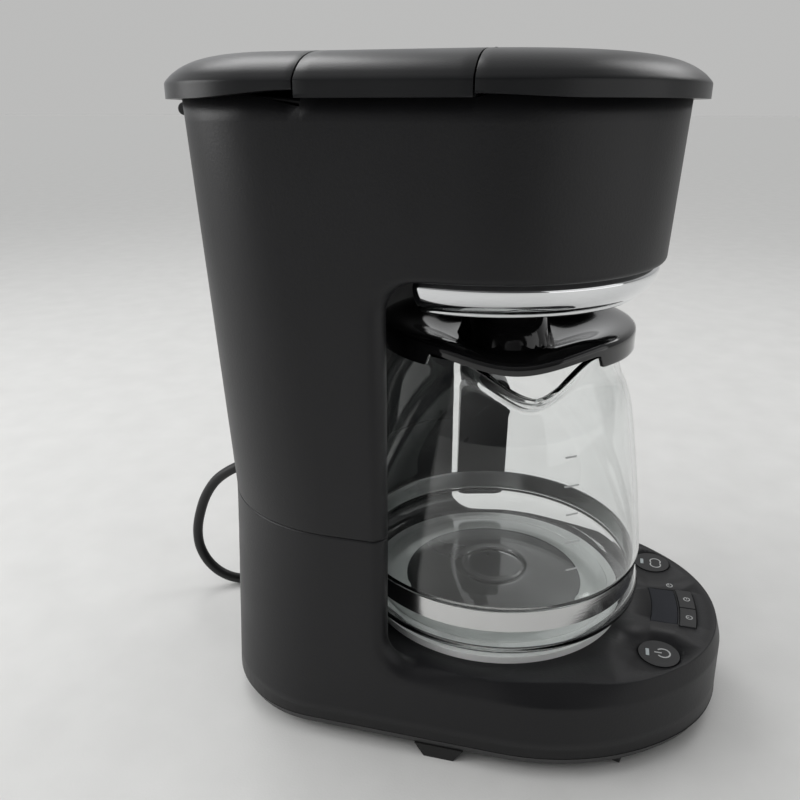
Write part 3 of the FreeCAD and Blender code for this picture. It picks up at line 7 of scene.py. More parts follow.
import bmesh
import bpy
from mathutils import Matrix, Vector


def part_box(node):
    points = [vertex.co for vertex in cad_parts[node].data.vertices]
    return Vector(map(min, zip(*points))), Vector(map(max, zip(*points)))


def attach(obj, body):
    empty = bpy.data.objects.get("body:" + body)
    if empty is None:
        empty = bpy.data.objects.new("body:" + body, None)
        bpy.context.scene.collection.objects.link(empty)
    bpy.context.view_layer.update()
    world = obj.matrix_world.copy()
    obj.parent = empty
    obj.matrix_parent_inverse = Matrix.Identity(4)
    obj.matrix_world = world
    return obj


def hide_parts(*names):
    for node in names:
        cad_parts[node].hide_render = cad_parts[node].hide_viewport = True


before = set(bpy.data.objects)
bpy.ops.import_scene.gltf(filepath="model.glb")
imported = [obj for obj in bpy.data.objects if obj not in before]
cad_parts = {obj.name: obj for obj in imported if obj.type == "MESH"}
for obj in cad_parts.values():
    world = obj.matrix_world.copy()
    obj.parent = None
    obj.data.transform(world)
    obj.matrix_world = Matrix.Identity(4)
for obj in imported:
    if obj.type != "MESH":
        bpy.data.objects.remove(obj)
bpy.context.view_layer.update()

MM = 0.001
LOG = logging.getLogger("coffee_maker")
Point = tuple[float, float]
Spot = tuple[float, float, float]
DRIFT_LOW = 0.3
DRIFT_HIGH = 0.7
RELIEF_HEIGHT = 0.0003
COAT_ROUGHNESS = 0.08
GLASS_SHADOW = (0.9, 0.92, 0.915, 1.0)


class Grain(Enum):
    """How the fine relief of a surface runs."""

    SMOOTH = "smooth"
    PEBBLED = "pebbled"
    BRUSHED = "brushed"
    WOVEN = "woven"


@dataclass(frozen=True)
class Finish:
    """A surface finish, made as one node material.

    Colours are linear. The colour drifts between dark and light over patches of the given scale, and the
    roughness drifts with it.
    """

    name: str
    dark: Spot
    light: Spot
    roughness: Point = (0.4, 0.5)
    metallic: float = 0.0
    specular: float = 0.5
    coat: float = 0.0
    patch_scale: float = 30.0
    grain: Grain = Grain.PEBBLED
    grain_scale: float = 900.0
    grain_depth: float = 0.1
    clear: float = 0.0
    ior: float = 1.46

    def material(self) -> bpy.types.Material:
        """Gives the finish's material, building it the first time.

        Returns:
            The node material.
        """
        known = bpy.data.materials.get(self.name)
        if known:
            return known
        made = bpy.data.materials.new(self.name)
        made.use_nodes = True
        tree = made.node_tree
        shader = tree.nodes["Principled BSDF"]
        shader.inputs["Metallic"].default_value = self.metallic
        shader.inputs["Specular IOR Level"].default_value = self.specular
        shader.inputs["Coat Weight"].default_value = self.coat
        shader.inputs["Coat Roughness"].default_value = COAT_ROUGHNESS
        shader.inputs["Transmission Weight"].default_value = self.clear
        shader.inputs["IOR"].default_value = self.ior
        place = tree.nodes.new("ShaderNodeTexCoord")
        self._colour(tree, shader, place)
        self._relief(tree, shader, place)
        if self.clear:
            self._pass_light(tree, shader)
        return made

    @staticmethod
    def _pass_light(tree: bpy.types.NodeTree, shader: bpy.types.Node) -> None:
        """Lets lamps shine through, as clear glass does.

        Args:
            tree: The material's nodes.
            shader: Its surface shader.
        """
        path = tree.nodes.new("ShaderNodeLightPath")
        through = tree.nodes.new("ShaderNodeBsdfTransparent")
        through.inputs["Color"].default_value = GLASS_SHADOW
        mix = tree.nodes.new("ShaderNodeMixShader")
        tree.links.new(path.outputs["Is Shadow Ray"], mix.inputs[0])
        tree.links.new(shader.outputs["BSDF"], mix.inputs[1])
        tree.links.new(through.outputs["BSDF"], mix.inputs[2])
        tree.links.new(mix.outputs["Shader"], tree.nodes["Material Output"].inputs["Surface"])

    def _colour(self, tree: bpy.types.NodeTree, shader: bpy.types.Node, place: bpy.types.Node) -> None:
        """Links drifting colour and roughness.

        Args:
            tree: The material's nodes.
            shader: Its surface shader.
            place: Its coordinates.
        """
        drift = tree.nodes.new("ShaderNodeTexNoise")
        drift.inputs["Scale"].default_value = self.patch_scale
        drift.inputs["Detail"].default_value = 4.0
        tree.links.new(place.outputs["Object"], drift.inputs["Vector"])
        ramp = tree.nodes.new("ShaderNodeValToRGB")
        ramp.color_ramp.elements[0].position = DRIFT_LOW
        ramp.color_ramp.elements[1].position = DRIFT_HIGH
        ramp.color_ramp.elements[0].color = (*self.dark, 1.0)
        ramp.color_ramp.elements[1].color = (*self.light, 1.0)
        tree.links.new(drift.outputs["Fac"], ramp.inputs["Fac"])
        tree.links.new(ramp.outputs["Color"], shader.inputs["Base Color"])
        span = tree.nodes.new("ShaderNodeMapRange")
        span.inputs["From Min"].default_value = DRIFT_LOW
        span.inputs["From Max"].default_value = DRIFT_HIGH
        span.inputs["To Min"].default_value = self.roughness[0]
        span.inputs["To Max"].default_value = self.roughness[1]
        tree.links.new(drift.outputs["Fac"], span.inputs["Value"])
        tree.links.new(span.outputs["Result"], shader.inputs["Roughness"])

    def _relief(self, tree: bpy.types.NodeTree, shader: bpy.types.Node, place: bpy.types.Node) -> None:
        """Links the fine relief.

        Args:
            tree: The material's nodes.
            shader: Its surface shader.
            place: Its coordinates.
        """
        if self.grain is Grain.SMOOTH:
            return
        stretch = tree.nodes.new("ShaderNodeMapping")
        if self.grain is Grain.BRUSHED:
            stretch.inputs["Scale"].default_value = (0.05, 0.05, 1.0)
        tree.links.new(place.outputs["Object"], stretch.inputs["Vector"])
        if self.grain is Grain.WOVEN:
            cells = tree.nodes.new("ShaderNodeTexVoronoi")
            cells.inputs["Randomness"].default_value = 0.0
            height = cells.outputs["Distance"]
        else:
            cells = tree.nodes.new("ShaderNodeTexNoise")
            cells.inputs["Detail"].default_value = 2.0
            height = cells.outputs["Fac"]
        cells.inputs["Scale"].default_value = self.grain_scale
        tree.links.new(stretch.outputs["Vector"], cells.inputs["Vector"])
        bump = tree.nodes.new("ShaderNodeBump")
        bump.inputs["Strength"].default_value = self.grain_depth
        bump.inputs["Distance"].default_value = RELIEF_HEIGHT
        tree.links.new(height, bump.inputs["Height"])
        tree.links.new(bump.outputs["Normal"], shader.inputs["Normal"])


BODY = Finish(
    "satin_black_shell", (0.0056, 0.0056, 0.0066), (0.0072, 0.0072, 0.0083), (0.4, 0.46),
    specular=0.42, grain_depth=0.2,
)
LID = Finish(
    "silky_black_lid", (0.0066, 0.007, 0.0078), (0.009, 0.0094, 0.0104), (0.3, 0.36),
    specular=0.4, grain_depth=0.1, grain_scale=1200.0,
)
DECK_KEY = Finish(
    "soft_black_key", (0.009, 0.0092, 0.01), (0.012, 0.0122, 0.0132), (0.42, 0.5), grain_depth=0.15,
)
GLOSS = Finish(
    "polished_black", (0.006, 0.006, 0.0065), (0.009, 0.009, 0.0095), (0.06, 0.12), coat=0.4,
    grain=Grain.SMOOTH,
)
HANDLE = Finish("handle_black", (0.011, 0.011, 0.012), (0.016, 0.016, 0.017), (0.25, 0.34), grain_depth=0.12)
CHROME = Finish(
    "mirror_trim", (0.78, 0.79, 0.8), (0.86, 0.87, 0.88), (0.03, 0.07), metallic=1.0, grain=Grain.SMOOTH,
    patch_scale=12.0,
)
STEEL = Finish(
    "bright_band", (0.66, 0.66, 0.66), (0.76, 0.76, 0.75), (0.14, 0.22), metallic=1.0, grain=Grain.BRUSHED,
    grain_scale=2500.0, grain_depth=0.12, patch_scale=18.0,
)
ZINC = Finish(
    "plated_steel", (0.42, 0.43, 0.45), (0.55, 0.56, 0.58), (0.28, 0.42), metallic=1.0, grain=Grain.BRUSHED,
    grain_scale=1600.0, grain_depth=0.2,
)
CAST = Finish("cast_heater", (0.5, 0.5, 0.51), (0.62, 0.62, 0.63), (0.4, 0.55), metallic=1.0, grain_depth=0.4)
BRASS = Finish(
    "blade_brass", (0.62, 0.48, 0.2), (0.74, 0.6, 0.3), (0.2, 0.32), metallic=1.0, grain=Grain.BRUSHED,
)
PLATE = Finish("warm_plate_coat", (0.012, 0.012, 0.0125), (0.02, 0.02, 0.02), (0.25, 0.4), grain_depth=0.3)
PLATE_BORDER = Finish(
    "warm_plate_border", (0.66, 0.66, 0.65), (0.78, 0.78, 0.77), (0.4, 0.55), grain_depth=0.6,
    grain_scale=1500.0,
)
SILICONE = Finish("pale_silicone", (0.5, 0.5, 0.49), (0.6, 0.6, 0.585), (0.5, 0.62), grain_depth=0.3)
SEAL = Finish(
    "pale_plate_seal", (0.74, 0.74, 0.735), (0.84, 0.84, 0.83), (0.55, 0.7), grain_depth=0.7,
    grain_scale=1400.0,
)
RUBBER = Finish("rubber_foot", (0.008, 0.008, 0.008), (0.014, 0.014, 0.014), (0.6, 0.75), grain_depth=0.35)
CORD = Finish("cord_jacket", (0.006, 0.006, 0.0065), (0.011, 0.011, 0.0115), (0.38, 0.5), grain_depth=0.2)
GLASS = Finish(
    "carafe_clear", (0.965, 0.98, 0.975), (0.985, 0.992, 0.99), (0.0, 0.012), grain=Grain.SMOOTH, clear=1.0,
    ior=1.47, patch_scale=8.0,
)
INNER = Finish("inner_moulding", (0.02, 0.02, 0.021), (0.03, 0.03, 0.031), (0.45, 0.6), grain_depth=0.25)
TANK = Finish("tank_moulding", (0.05, 0.053, 0.056), (0.07, 0.073, 0.077), (0.35, 0.5), grain_depth=0.2)
MESH = Finish(
    "fine_mesh", (0.36, 0.34, 0.29), (0.5, 0.47, 0.4), (0.3, 0.45), metallic=1.0, grain=Grain.WOVEN,
    grain_scale=900.0, grain_depth=1.0,
)
BOARD = Finish("green_laminate", (0.012, 0.075, 0.035), (0.02, 0.11, 0.05), (0.3, 0.42), grain_depth=0.15)
CERAMIC = Finish("sensor_ceramic", (0.6, 0.58, 0.53), (0.68, 0.66, 0.61), (0.4, 0.55), grain_depth=0.2)
LAMP = Finish("lamp_lens", (0.36, 0.4, 0.41), (0.46, 0.5, 0.51), (0.2, 0.3), grain_depth=0.1)
DISPLAY = Finish(
    "display_pane", (0.021, 0.0225, 0.0275), (0.026, 0.0278, 0.0338), (0.34, 0.42), specular=0.1,
    grain=Grain.SMOOTH, patch_scale=60.0,
)
INK = Finish("pale_ink", (0.42, 0.43, 0.43), (0.52, 0.53, 0.53), (0.5, 0.6), grain_depth=0.05)


def lerp(low: float, high: float, share: float) -> float:
    """Gives the value a share of the way from low to high."""
    return low + (high - low) * share


def ease(share: float) -> float:
    """Smooths a share between nought and one."""
    share = min(max(share, 0.0), 1.0)
    return share * share * (3.0 - 2.0 * share)


def steps(low: float, high: float, count: int) -> list[float]:
    """Gives count even steps from low to high, both ends included."""
    return [lerp(low, high, index / count) for index in range(count + 1)]


@dataclass(frozen=True)
class Layout:
    """Where the machine's own middle lies in the shared frame, in millimetres."""

    mid_x: float
    shift_y: float
    brew_y: float = -33.0

    @staticmethod
    def from_frame() -> "Layout":
        """Reads the layout from the warming plate, which is centred on the brewing axis.

        Returns:
            The layout.
        """
        low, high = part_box("warming_plate")
        middle = (low + high) / 2 / MM
        return Layout(middle.x, middle.y - Layout.brew_y)

    def spot(self, x: float, y: float, z: float) -> Vector:
        """Turns a place on the machine, in millimetres, into the frame, in metres."""
        return Vector((x + self.mid_x, y + self.shift_y, z)) * MM


LAYOUT = Layout.from_frame()


class Shape:
    """Corners and faces of one piece, gathered in millimetres."""

    def __init__(self) -> None:
        """Starts empty."""
        self.corners: list[Spot] = []
        self.faces: list[list[int]] = []

    def row(self, points: Iterable[Spot]) -> list[int]:
        """Adds points and gives their numbers."""
        first = len(self.corners)
        self.corners.extend(points)
        return list(range(first, len(self.corners)))

    def join(self, low: Sequence[int], high: Sequence[int], closed: bool = False) -> None:
        """Joins two rows of the same length with four-sided faces.

        Args:
            low: The first row.
            high: The second row.
            closed: Whether the rows run round to their start.
        """
        count = len(low)
        for index in range(count if closed else count - 1):
            after = (index + 1) % count
            self.faces.append([low[index], low[after], high[after], high[index]])

    def grid(self, rows: Sequence[Sequence[int]], closed: bool = False) -> None:
        """Joins each row to the next."""
        for low, high in zip(rows, rows[1:]):
            self.join(low, high, closed)

    def face(self, ring: Sequence[int]) -> None:
        """Adds one flat face."""
        self.faces.append(list(ring))

    def build(self, name: str, body: str, finish: Finish, crease: float = 35.0) -> bpy.types.Object:
        """Makes the piece as an object that rides on a body.

        Args:
            name: The piece's name.
            body: The body it rides on.
            finish: Its finish.
            crease: The angle in degrees above which an edge stays sharp.

        Returns:
            The object.
        """
        mesh = bpy.data.meshes.new(name)
        mesh.from_pydata([LAYOUT.spot(*corner) for corner in self.corners], [], self.faces)
        tidy = bmesh.new()
        tidy.from_mesh(mesh)
        bmesh.ops.remove_doubles(tidy, verts=tidy.verts, dist=1e-6)
        bmesh.ops.recalc_face_normals(tidy, faces=tidy.faces)
        tidy.to_mesh(mesh)
        tidy.free()
        mesh.shade_smooth()
        mesh.set_sharp_from_angle(angle=math.radians(crease))
        piece = bpy.data.objects.new(name, mesh)
        bpy.context.scene.collection.objects.link(piece)
        piece.data.materials.append(finish.material())
        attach(piece, body)
        LOG.info("piece %s on %s", name, body)
        return piece


def thicken(piece: bpy.types.Object, wall: float) -> None:
    """Gives an open skin, which is the outside, a wall.

    Args:
        piece: The skin.
        wall: The wall's thickness in millimetres.
    """
    solid = piece.modifiers.new("wall", "SOLIDIFY")
    solid.thickness = wall * MM
    solid.offset = -1.0


def soften(piece: bpy.types.Object, width: float, segments: int = 2, angle: float = 40.0) -> None:
    """Rounds a piece's sharp edges.

    Args:
        piece: The piece.
        width: The rounding's width in millimetres.
        segments: How many strips it has.
        angle: The smallest edge angle in degrees that is rounded.
    """
    bevel = piece.modifiers.new("soft_edges", "BEVEL")
    bevel.width = width * MM
    bevel.segments = segments
    bevel.limit_method = "ANGLE"
    bevel.angle_limit = math.radians(angle)
    bevel.harden_normals = False
    bevel.use_clamp_overlap = True


def dress(nodes: dict[str, Finish]) -> None:
    """Gives CAD nodes their finishes.

    Args:
        nodes: Each node's name and finish.
    """
    for name, finish in nodes.items():
        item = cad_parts[name]
        item.data.materials.clear()
        item.data.materials.append(finish.material())
        LOG.info("node %s in %s", name, finish.name)


def turned_rows(
    shape: Shape, profile: Sequence[Point], centre: Point, angles: Sequence[float],
) -> list[list[int]]:
    """Adds a profile turned about an upright axis.

    Args:
        shape: The shape that takes the corners.
        profile: Radius and height along the profile.
        centre: The axis.
        angles: The angles, in degrees, of the profile's copies.

    Returns:
        One row of corners for each point of the profile.
    """
    rows = []
    for radius, z in profile:
        ring = []
        for angle in angles:
            turn = math.radians(angle)
            ring.append((centre[0] + radius * math.cos(turn), centre[1] + radius * math.sin(turn), z))
        rows.append(shape.row(ring))
    return rows


def smooth_curve(points: Sequence[Point], per_leg: int = 6) -> list[Point]:
    """Runs a smooth curve through points in a plane.

    Args:
        points: The points to pass through.
        per_leg: How many steps each leg takes.

    Returns:
        The curve's points.
    """
    curve = []
    for index in range(len(points) - 1):
        before = points[max(index - 1, 0)]
        start, stop = points[index], points[index + 1]
        after = points[min(index + 2, len(points) - 1)]
        for step in range(per_leg):
            t = step / per_leg
            curve.append(tuple(
                0.5 * (
                    2 * b + (c - a) * t + (2 * a - 5 * b + 4 * c - d) * t * t
                    + (3 * b - a - 3 * c + d) * t ** 3
                )
                for a, b, c, d in zip(before, start, stop, after)
            ))
    curve.append(tuple(points[-1]))
    return curve


@dataclass(frozen=True)
class RoundedEnd:
    """A half-oval end made of three tangent arcs."""

    half: float
    depth: float
    corner: float

    @property
    def end_radius(self) -> float:
        """The radius of the middle arc."""
        top = self.half ** 2 + self.depth ** 2 - 2 * self.half * self.corner
        return top / (2 * (self.depth - self.corner))

    def points(self, corner_steps: int, end_steps: int) -> list[Point]:
        """Gives one quarter of the end, from its widest line to its middle.

        Args:
            corner_steps: Steps round the corner arc.
            end_steps: Steps along the middle arc.

        Returns:
            Sideways and lengthways places, and the quarter's first point is left out.
        """
        end = self.end_radius
        spots = []
        centre_x = self.half - self.corner
        tilt = math.atan2(abs(self.depth - end), abs(centre_x))
        for angle in steps(0.0, tilt, corner_steps)[1:]:
            spots.append((centre_x + self.corner * math.cos(angle), self.corner * math.sin(angle)))
        for angle in steps(tilt, math.pi / 2, end_steps)[1:]:
            spots.append((end * math.cos(angle), self.depth - end + end * math.sin(angle)))
        return spots


@dataclass(frozen=True)
class Plan:
    """The housing's plan at one height."""

    half: float
    back: float
    bow: float
    corner: float

    @property
    def side_y(self) -> float:
        """Where the straight side gives way to the bowed back."""
        return self.back - self.bow

    def towards(self, other: "Plan", share: float) -> "Plan":
        """Gives the plan a share of the way to another."""
        return Plan(*(lerp(mine, theirs, share) for mine, theirs in zip(astuple(self), astuple(other))))

    def half_at(self, y: float) -> float:
        """The half width at a place on the side or on the corner that follows it."""
        past = max(0.0, y - self.side_y)
        return self.half - self.corner + math.sqrt(self.corner ** 2 - past ** 2)

    def back_points(self, start_y: float) -> list[Point]:
        """Gives the right half of the back, from a place on its corner to the middle.

        Args:
            start_y: The y of the place, which is itself left out.

        Returns:
            The points.
        """
        end = RoundedEnd(self.half, self.bow, self.corner).end_radius
        turn = math.asin((start_y - self.side_y) / self.corner)
        tilt = math.atan2(abs(self.bow - end), abs(self.half - self.corner))
        spots = []
        for angle in steps(turn, tilt, 12)[1:]:
            reach = self.half - self.corner + self.corner * math.cos(angle)
            spots.append((reach, self.side_y + self.corner * math.sin(angle)))
        for angle in steps(tilt, math.pi / 2, 9)[1:]:
            spots.append((end * math.cos(angle), self.back - end + end * math.sin(angle)))
        return spots


@dataclass(frozen=True)
class Bay:
    """The carafe's room in the side view, with a round corner against the column."""

    wing_y: float = 4.8
    corner: float = 14.0
    back_y: float = 45.0
    flat_z: float = 224.0
    opens_down: bool = True

    @property
    def turn_y(self) -> float:
        """Where the round corner meets the flat roof or floor."""
        return self.wing_y - self.corner

    @property
    def turn_z(self) -> float:
        """The height of the round corner's middle."""
        return self.flat_z - self.corner if self.opens_down else self.flat_z + self.corner

    def depth(self, y: float, z: float) -> float:
        """How far a place on the side lies inside the material, seen from the side.

        Args:
            y: The place's y.
            z: Its height.

        Returns:
            The distance to the bay's border, negative inside the bay.
        """
        beyond = z - self.turn_z if self.opens_down else self.turn_z - z
        if beyond <= 0:
            return y - self.wing_y
        if y <= self.turn_y:
            return beyond - self.corner
        return math.hypot(y - self.turn_y, beyond) - self.corner

    def swing(self, y: float, z: float) -> float:
        """How far round the corner a place lies: nought on the column, one on the roof or floor.

        Args:
            y: The place's y.
            z: Its height.

        Returns:
            The share of the corner.
        """
        beyond = z - self.turn_z if self.opens_down else self.turn_z - z
        if beyond <= 0:
            return 0.0
        if y <= self.turn_y:
            return 1.0
        return math.atan2(beyond, y - self.turn_y) / (math.pi / 2)

    def border(self, z: float, grown: float = 0.0) -> float:
        """The y of the bay's border at a height, or of a line set off from it.

        Args:
            z: The height.
            grown: How far the line is set off into the material.

        Returns:
            The y.
        """
        beyond = z - self.turn_z if self.opens_down else self.turn_z - z
        reach = self.corner + grown
        if beyond <= 0:
            return self.wing_y + grown
        return self.turn_y + math.sqrt(max(reach * reach - beyond * beyond, 0.0))


def roundover(radius: float, depth: float) -> float:
    """How far a rounded edge falls back at a depth from the border.

    Args:
        radius: The edge's radius.
        depth: The distance from the border.

    Returns:
        The fall.
    """
    if depth >= radius:
        return 0.0
    rest = radius - max(depth, 0.0)
    return radius - math.sqrt(max(radius * radius - rest * rest, 0.0))


@dataclass(frozen=True)
class RisingEdge:
    """How a lid's lower edge rises along the sides towards its seam, and the rim under it too."""

    rise: float
    seam_y: float
    from_y: float
    side: float = 55.0

    def at(self, y: float) -> float:
        """How far the edge has risen at a place along it."""
        return self.rise * ease((y - self.from_y) / (self.seam_y - self.from_y))


FRONT_EDGE = RisingEdge(1.2, -29.0, -66.0)
REAR_EDGE = RisingEdge(2.6, 34.0, 78.0)
EDGE_STEPS = 8
SIDE_STEPS = 5
NOSE_STEPS = 26
ARC_STEPS = 36


@dataclass
class Housing:
    """Both shells of the body, with the soft border round the carafe's bay."""

    parting_z: float = 12.4
    deck_z: float = 48.0
    seam_z: float = 111.0
    seam_gap: float = 0.4
    roof_z: float = 224.0
    rim_z: float = 288.0
    wall: float = 2.5
    border: float = 6.5
    head_edge: float = 2.2
    deck_edge: float = 8.6
    base_reach: float = 148.8
    base_nose: float = 100.0
    nose_side: float = 113.0
    funnel_hole: float = 51.0
    plate_hole: float = 57.0
    plateau: float = 78.0
    slope_side: float = 13.0
    slope_nose: float = 2.4
    slope_blend: float = 22.0
    notch_near: float = 33.6
    notch_far: float = 54.0
    notch_floor: float = 285.0
    rib_foot: Point = (2.7, 0.24)
    rib_head: Point = (4.0, 0.7)
    slope_least: float = 3.2
    slope_from: float = -44.0
    slope_over: float = 70.0
    slope_round: float = 0.12
    deck_support: float = 0.9
    seam_nose: float = -18.0
    rim_nose: float = -24.0
    base_plan: Plan = Plan(81.4, 101.0, 58.0, 54.0)
    seam_plan: Plan = Plan(78.5, 101.0, 70.0, 66.0)
    rim_plan: Plan = Plan(80.0, 108.0, 54.0, 44.0)

    def upper_plan(self, z: float) -> tuple[Plan, float]:
        """The upper shell's plan and nose centre at a height."""
        t = (z - self.seam_z) / (self.rim_z - self.seam_z)
        return self.seam_plan.towards(self.rim_plan, t), lerp(self.seam_nose, self.rim_nose, t)

    def lower_plan(self, z: float) -> Plan:
        """The lower shell's plan at a height."""
        t = (z - self.parting_z) / (self.seam_z - self.parting_z)
        return self.base_plan.towards(self.seam_plan, t)

    def side_row(self, plan: Plan, bay: Bay, z: float, flat_edge: float) -> list[Point]:
        """Gives the right half of one level, from the bay's border round to the middle of the back.

        Args:
            plan: The plan at that height.
            bay: The bay.
            z: The height.
            flat_edge: The radius that the soft border has where it reaches the roof or floor.

        Returns:
            The level's points.
        """
        near = bay.border(z)
        far = max(bay.border(z, self.border), near + 2.0)
        marks = [lerp(near, far, 1 - math.cos(t * math.pi / 2)) for t in steps(0, 1, EDGE_STEPS)]
        marks += steps(far, self.notch_near, SIDE_STEPS)[1:] + steps(self.notch_near + 0.6, self.notch_far, 4)
        row = []
        for y in marks:
            radius = lerp(self.border, flat_edge, ease(bay.swing(y, z)))
            row.append((plan.half_at(y) - roundover(radius, bay.depth(y, z)), y))
        return row + plan.back_points(self.notch_far)

    @staticmethod
    def mirrored(row: Sequence[Point], z: float) -> list[Spot]:
        """Runs a right half row on to the left side."""
        right = [(x, y, z) for x, y in row]
        left = [(-x, y, z) for x, y in reversed(row[:-1])]
        return right + left

    @staticmethod
    def hollow_row(start: Point, back_y: float, z: float) -> list[Spot]:
        """Gives the bay's rounded back wall at one level, from the left border to the right.

        Args:
            start: The right border's place.
            back_y: The wall's deepest place.
            z: The height.

        Returns:
            The wall's points.
        """
        x0, y0 = start
        centre = (back_y ** 2 - x0 ** 2 - y0 ** 2) / (2 * (back_y - y0))
        radius = back_y - centre
        reach = math.atan2(x0, y0 - centre)
        return [
            (radius * math.sin(angle), centre + radius * math.cos(angle), z)
            for angle in steps(-reach, reach, ARC_STEPS)
        ]

    def upper(self) -> bpy.types.Object:
        """Builds the upper shell.

        Returns:
            The shell.
        """
        shape = Shape()
        bay = Bay(flat_z=self.roof_z, opens_down=True)
        low = self.seam_z + self.seam_gap / 2
        levels = [low, low + 1.0] + steps(low + 20, bay.turn_z, 5)
        levels += [bay.turn_z + bay.corner * math.sin(t) for t in steps(0, math.pi / 2, 9)[1:]]
        over = [self.roof_z + self.border * (1 - math.cos(t)) for t in steps(0, math.pi / 2, 10)[1:]]
        rises = over + steps(self.roof_z + self.border, self.rim_z, 7)[1:]
        rows, walls = [], []
        for z in levels + rises:
            plan, _ = self.upper_plan(z)
            row = self.side_row(plan, bay, min(z, self.roof_z + self.border), self.head_edge)
            rows.append(shape.row(self.rim_dip(self.mirrored(row, z))))
            if z in levels:
                walls.append(shape.row(self.hollow_row(row[0], bay.back_y, z)))
        shape.grid(rows)
        shape.grid(walls)
        noses = [shape.row(self.head_nose(bay, z)) for z in [self.roof_z] + rises]
        shape.grid(noses)
        self.notch_rib(shape)
        hole = self.circle(self.funnel_hole, self.roof_z)
        self.flat(shape, [noses[0], walls[-1]], [hole], self.roof_z)
        piece = shape.build("upper_shell", "machine", BODY, 40.0)
        thicken(piece, self.wall)
        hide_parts("upper_housing")
        return piece

    def notch_edges(self, y: float) -> tuple[float, float]:
        """Gives the heights of the finger notch's floor and of the lid's edge above it."""
        risen = self.rim_z + REAR_EDGE.at(max(y, self.notch_far))
        share = min(1.0, max(0.0, (y - self.notch_near) / (self.notch_far - self.notch_near)))
        return lerp(self.notch_floor, risen, share), risen

    def notch_rib(self, shape: Shape) -> None:
        """Adds the leaning rib that stands behind each finger notch."""
        plan, _ = self.upper_plan(self.rim_z)
        for side in (1.0, -1.0):
            low, high = [], []
            for y in steps(self.notch_near - 0.6, self.notch_far + 1.0, 8):
                floor, top = self.notch_edges(y)
                half = plan.half_at(y)
                low.append((side * (half - self.rib_foot[0]), y, lerp(floor, top, self.rib_foot[1])))
                high.append((side * (half - self.rib_head[0]), y, lerp(floor, top, self.rib_head[1])))
            shape.grid([shape.row(low), shape.row(high)])

    def rim_dip(self, row: list[Spot]) -> list[Spot]:
        """Lets the rim follow the lids' rising edges, and dip into the finger notches by the tank lid."""
        shaped = []
        for x, y, z in row:
            on_rim = z >= self.rim_z - 0.01
            if on_rim and y > self.notch_near + 0.1 and abs(x) > REAR_EDGE.side:
                z = self.notch_edges(y)[0]
            elif on_rim and y < FRONT_EDGE.seam_y:
                z += FRONT_EDGE.at(y)
            shaped.append((x, y, z))
        return shaped

    def head_nose(self, bay: Bay, z: float) -> list[Spot]:
        """Gives the head's front at one level, from the right border round to the left.

        Args:
            bay: The bay.
            z: The height.

        Returns:
            The front's points.
        """
        plan, nose_y = self.upper_plan(z)
        near = bay.turn_y
        path = [(plan.half, y, (1.0, 0.0)) for y in steps(near, nose_y, 5)]
        for angle in steps(0, math.pi / 2, NOSE_STEPS)[1:]:
            out = (math.cos(angle), -math.sin(angle))
            path.append((plan.half * out[0], nose_y + plan.half * out[1], out))
        row = []
        for x, y, out in path:
            fall = roundover(self.head_edge, z - self.roof_z)
            row.append((x - out[0] * fall, y - out[1] * fall))
        right = [(x, y, z) for x, y in row]
        left = [(-x, y, z) for x, y in reversed(row[:-1])]
        return self.rim_dip(right + left)

    @staticmethod
    def circle(radius: float, z: float, count: int = 96) -> list[Spot]:
        """Gives a ring of points about the brewing axis."""
        turns = [2 * math.pi * k / count for k in range(count)]
        return [(radius * math.cos(turn), LAYOUT.brew_y + radius * math.sin(turn), z) for turn in turns]

    @staticmethod
    def flat(
        shape: Shape, edge_rows: Sequence[Sequence[int]], holes: Sequence[Sequence[Spot]], z: float,
    ) -> None:
        """Fills a flat face that is bounded by rows and has holes.

        Args:
            shape: The shape.
            edge_rows: Rows that bound the face, end to end.
            holes: Rings of points.
            z: The face's height.
        """
        sheet = bmesh.new()
        border = [shape.corners[index] for row in edge_rows for index in row]
        loops = [border, *(list(ring) for ring in holes)]
        edges = []
        for loop in loops:
            ring = []
            for x, y, _ in loop:
                if not ring or math.hypot(ring[-1].co.x - x, ring[-1].co.y - y) > 1e-4:
                    ring.append(sheet.verts.new((x, y, z)))
            if math.hypot(ring[0].co.x - ring[-1].co.x, ring[0].co.y - ring[-1].co.y) < 1e-4:
                sheet.verts.remove(ring.pop())
            edges += [sheet.edges.new((ring[k], ring[(k + 1) % len(ring)])) for k in range(len(ring))]
        bmesh.ops.triangle_fill(sheet, use_beauty=True, edges=edges)
        sheet.verts.index_update()
        first = len(shape.corners)
        shape.corners.extend((vert.co.x, vert.co.y, z) for vert in sheet.verts)
        shape.faces.extend([first + vert.index for vert in face.verts] for face in sheet.faces)
        sheet.free()

    def deck_fall(self, bay: Bay, x: float, y: float, z: float) -> float:
        """How far the deck's border has come in at a height: rounded by the column, sloping further forward.

        Args:
            bay: The bay.
            x: The outline's x there.
            y: The outline's y there.
            z: The height.

        Returns:
            The distance in from the outline.
        """
        room = math.hypot(x, y - LAYOUT.brew_y) - self.plateau
        forward = ease((self.slope_from - y) / self.slope_over)
        wide = lerp(min(max(room, self.slope_least), self.slope_side), self.slope_nose, forward)
        rise = max(0.0, 1.0 - (self.deck_z - z) / self.deck_edge)
        soft = roundover(self.deck_edge, self.deck_z - z)
        slope = wide * lerp(rise, 1.0 - math.sqrt(1.0 - rise * rise), self.slope_round)
        return lerp(soft, slope, ease((bay.turn_y - y) / self.slope_blend))

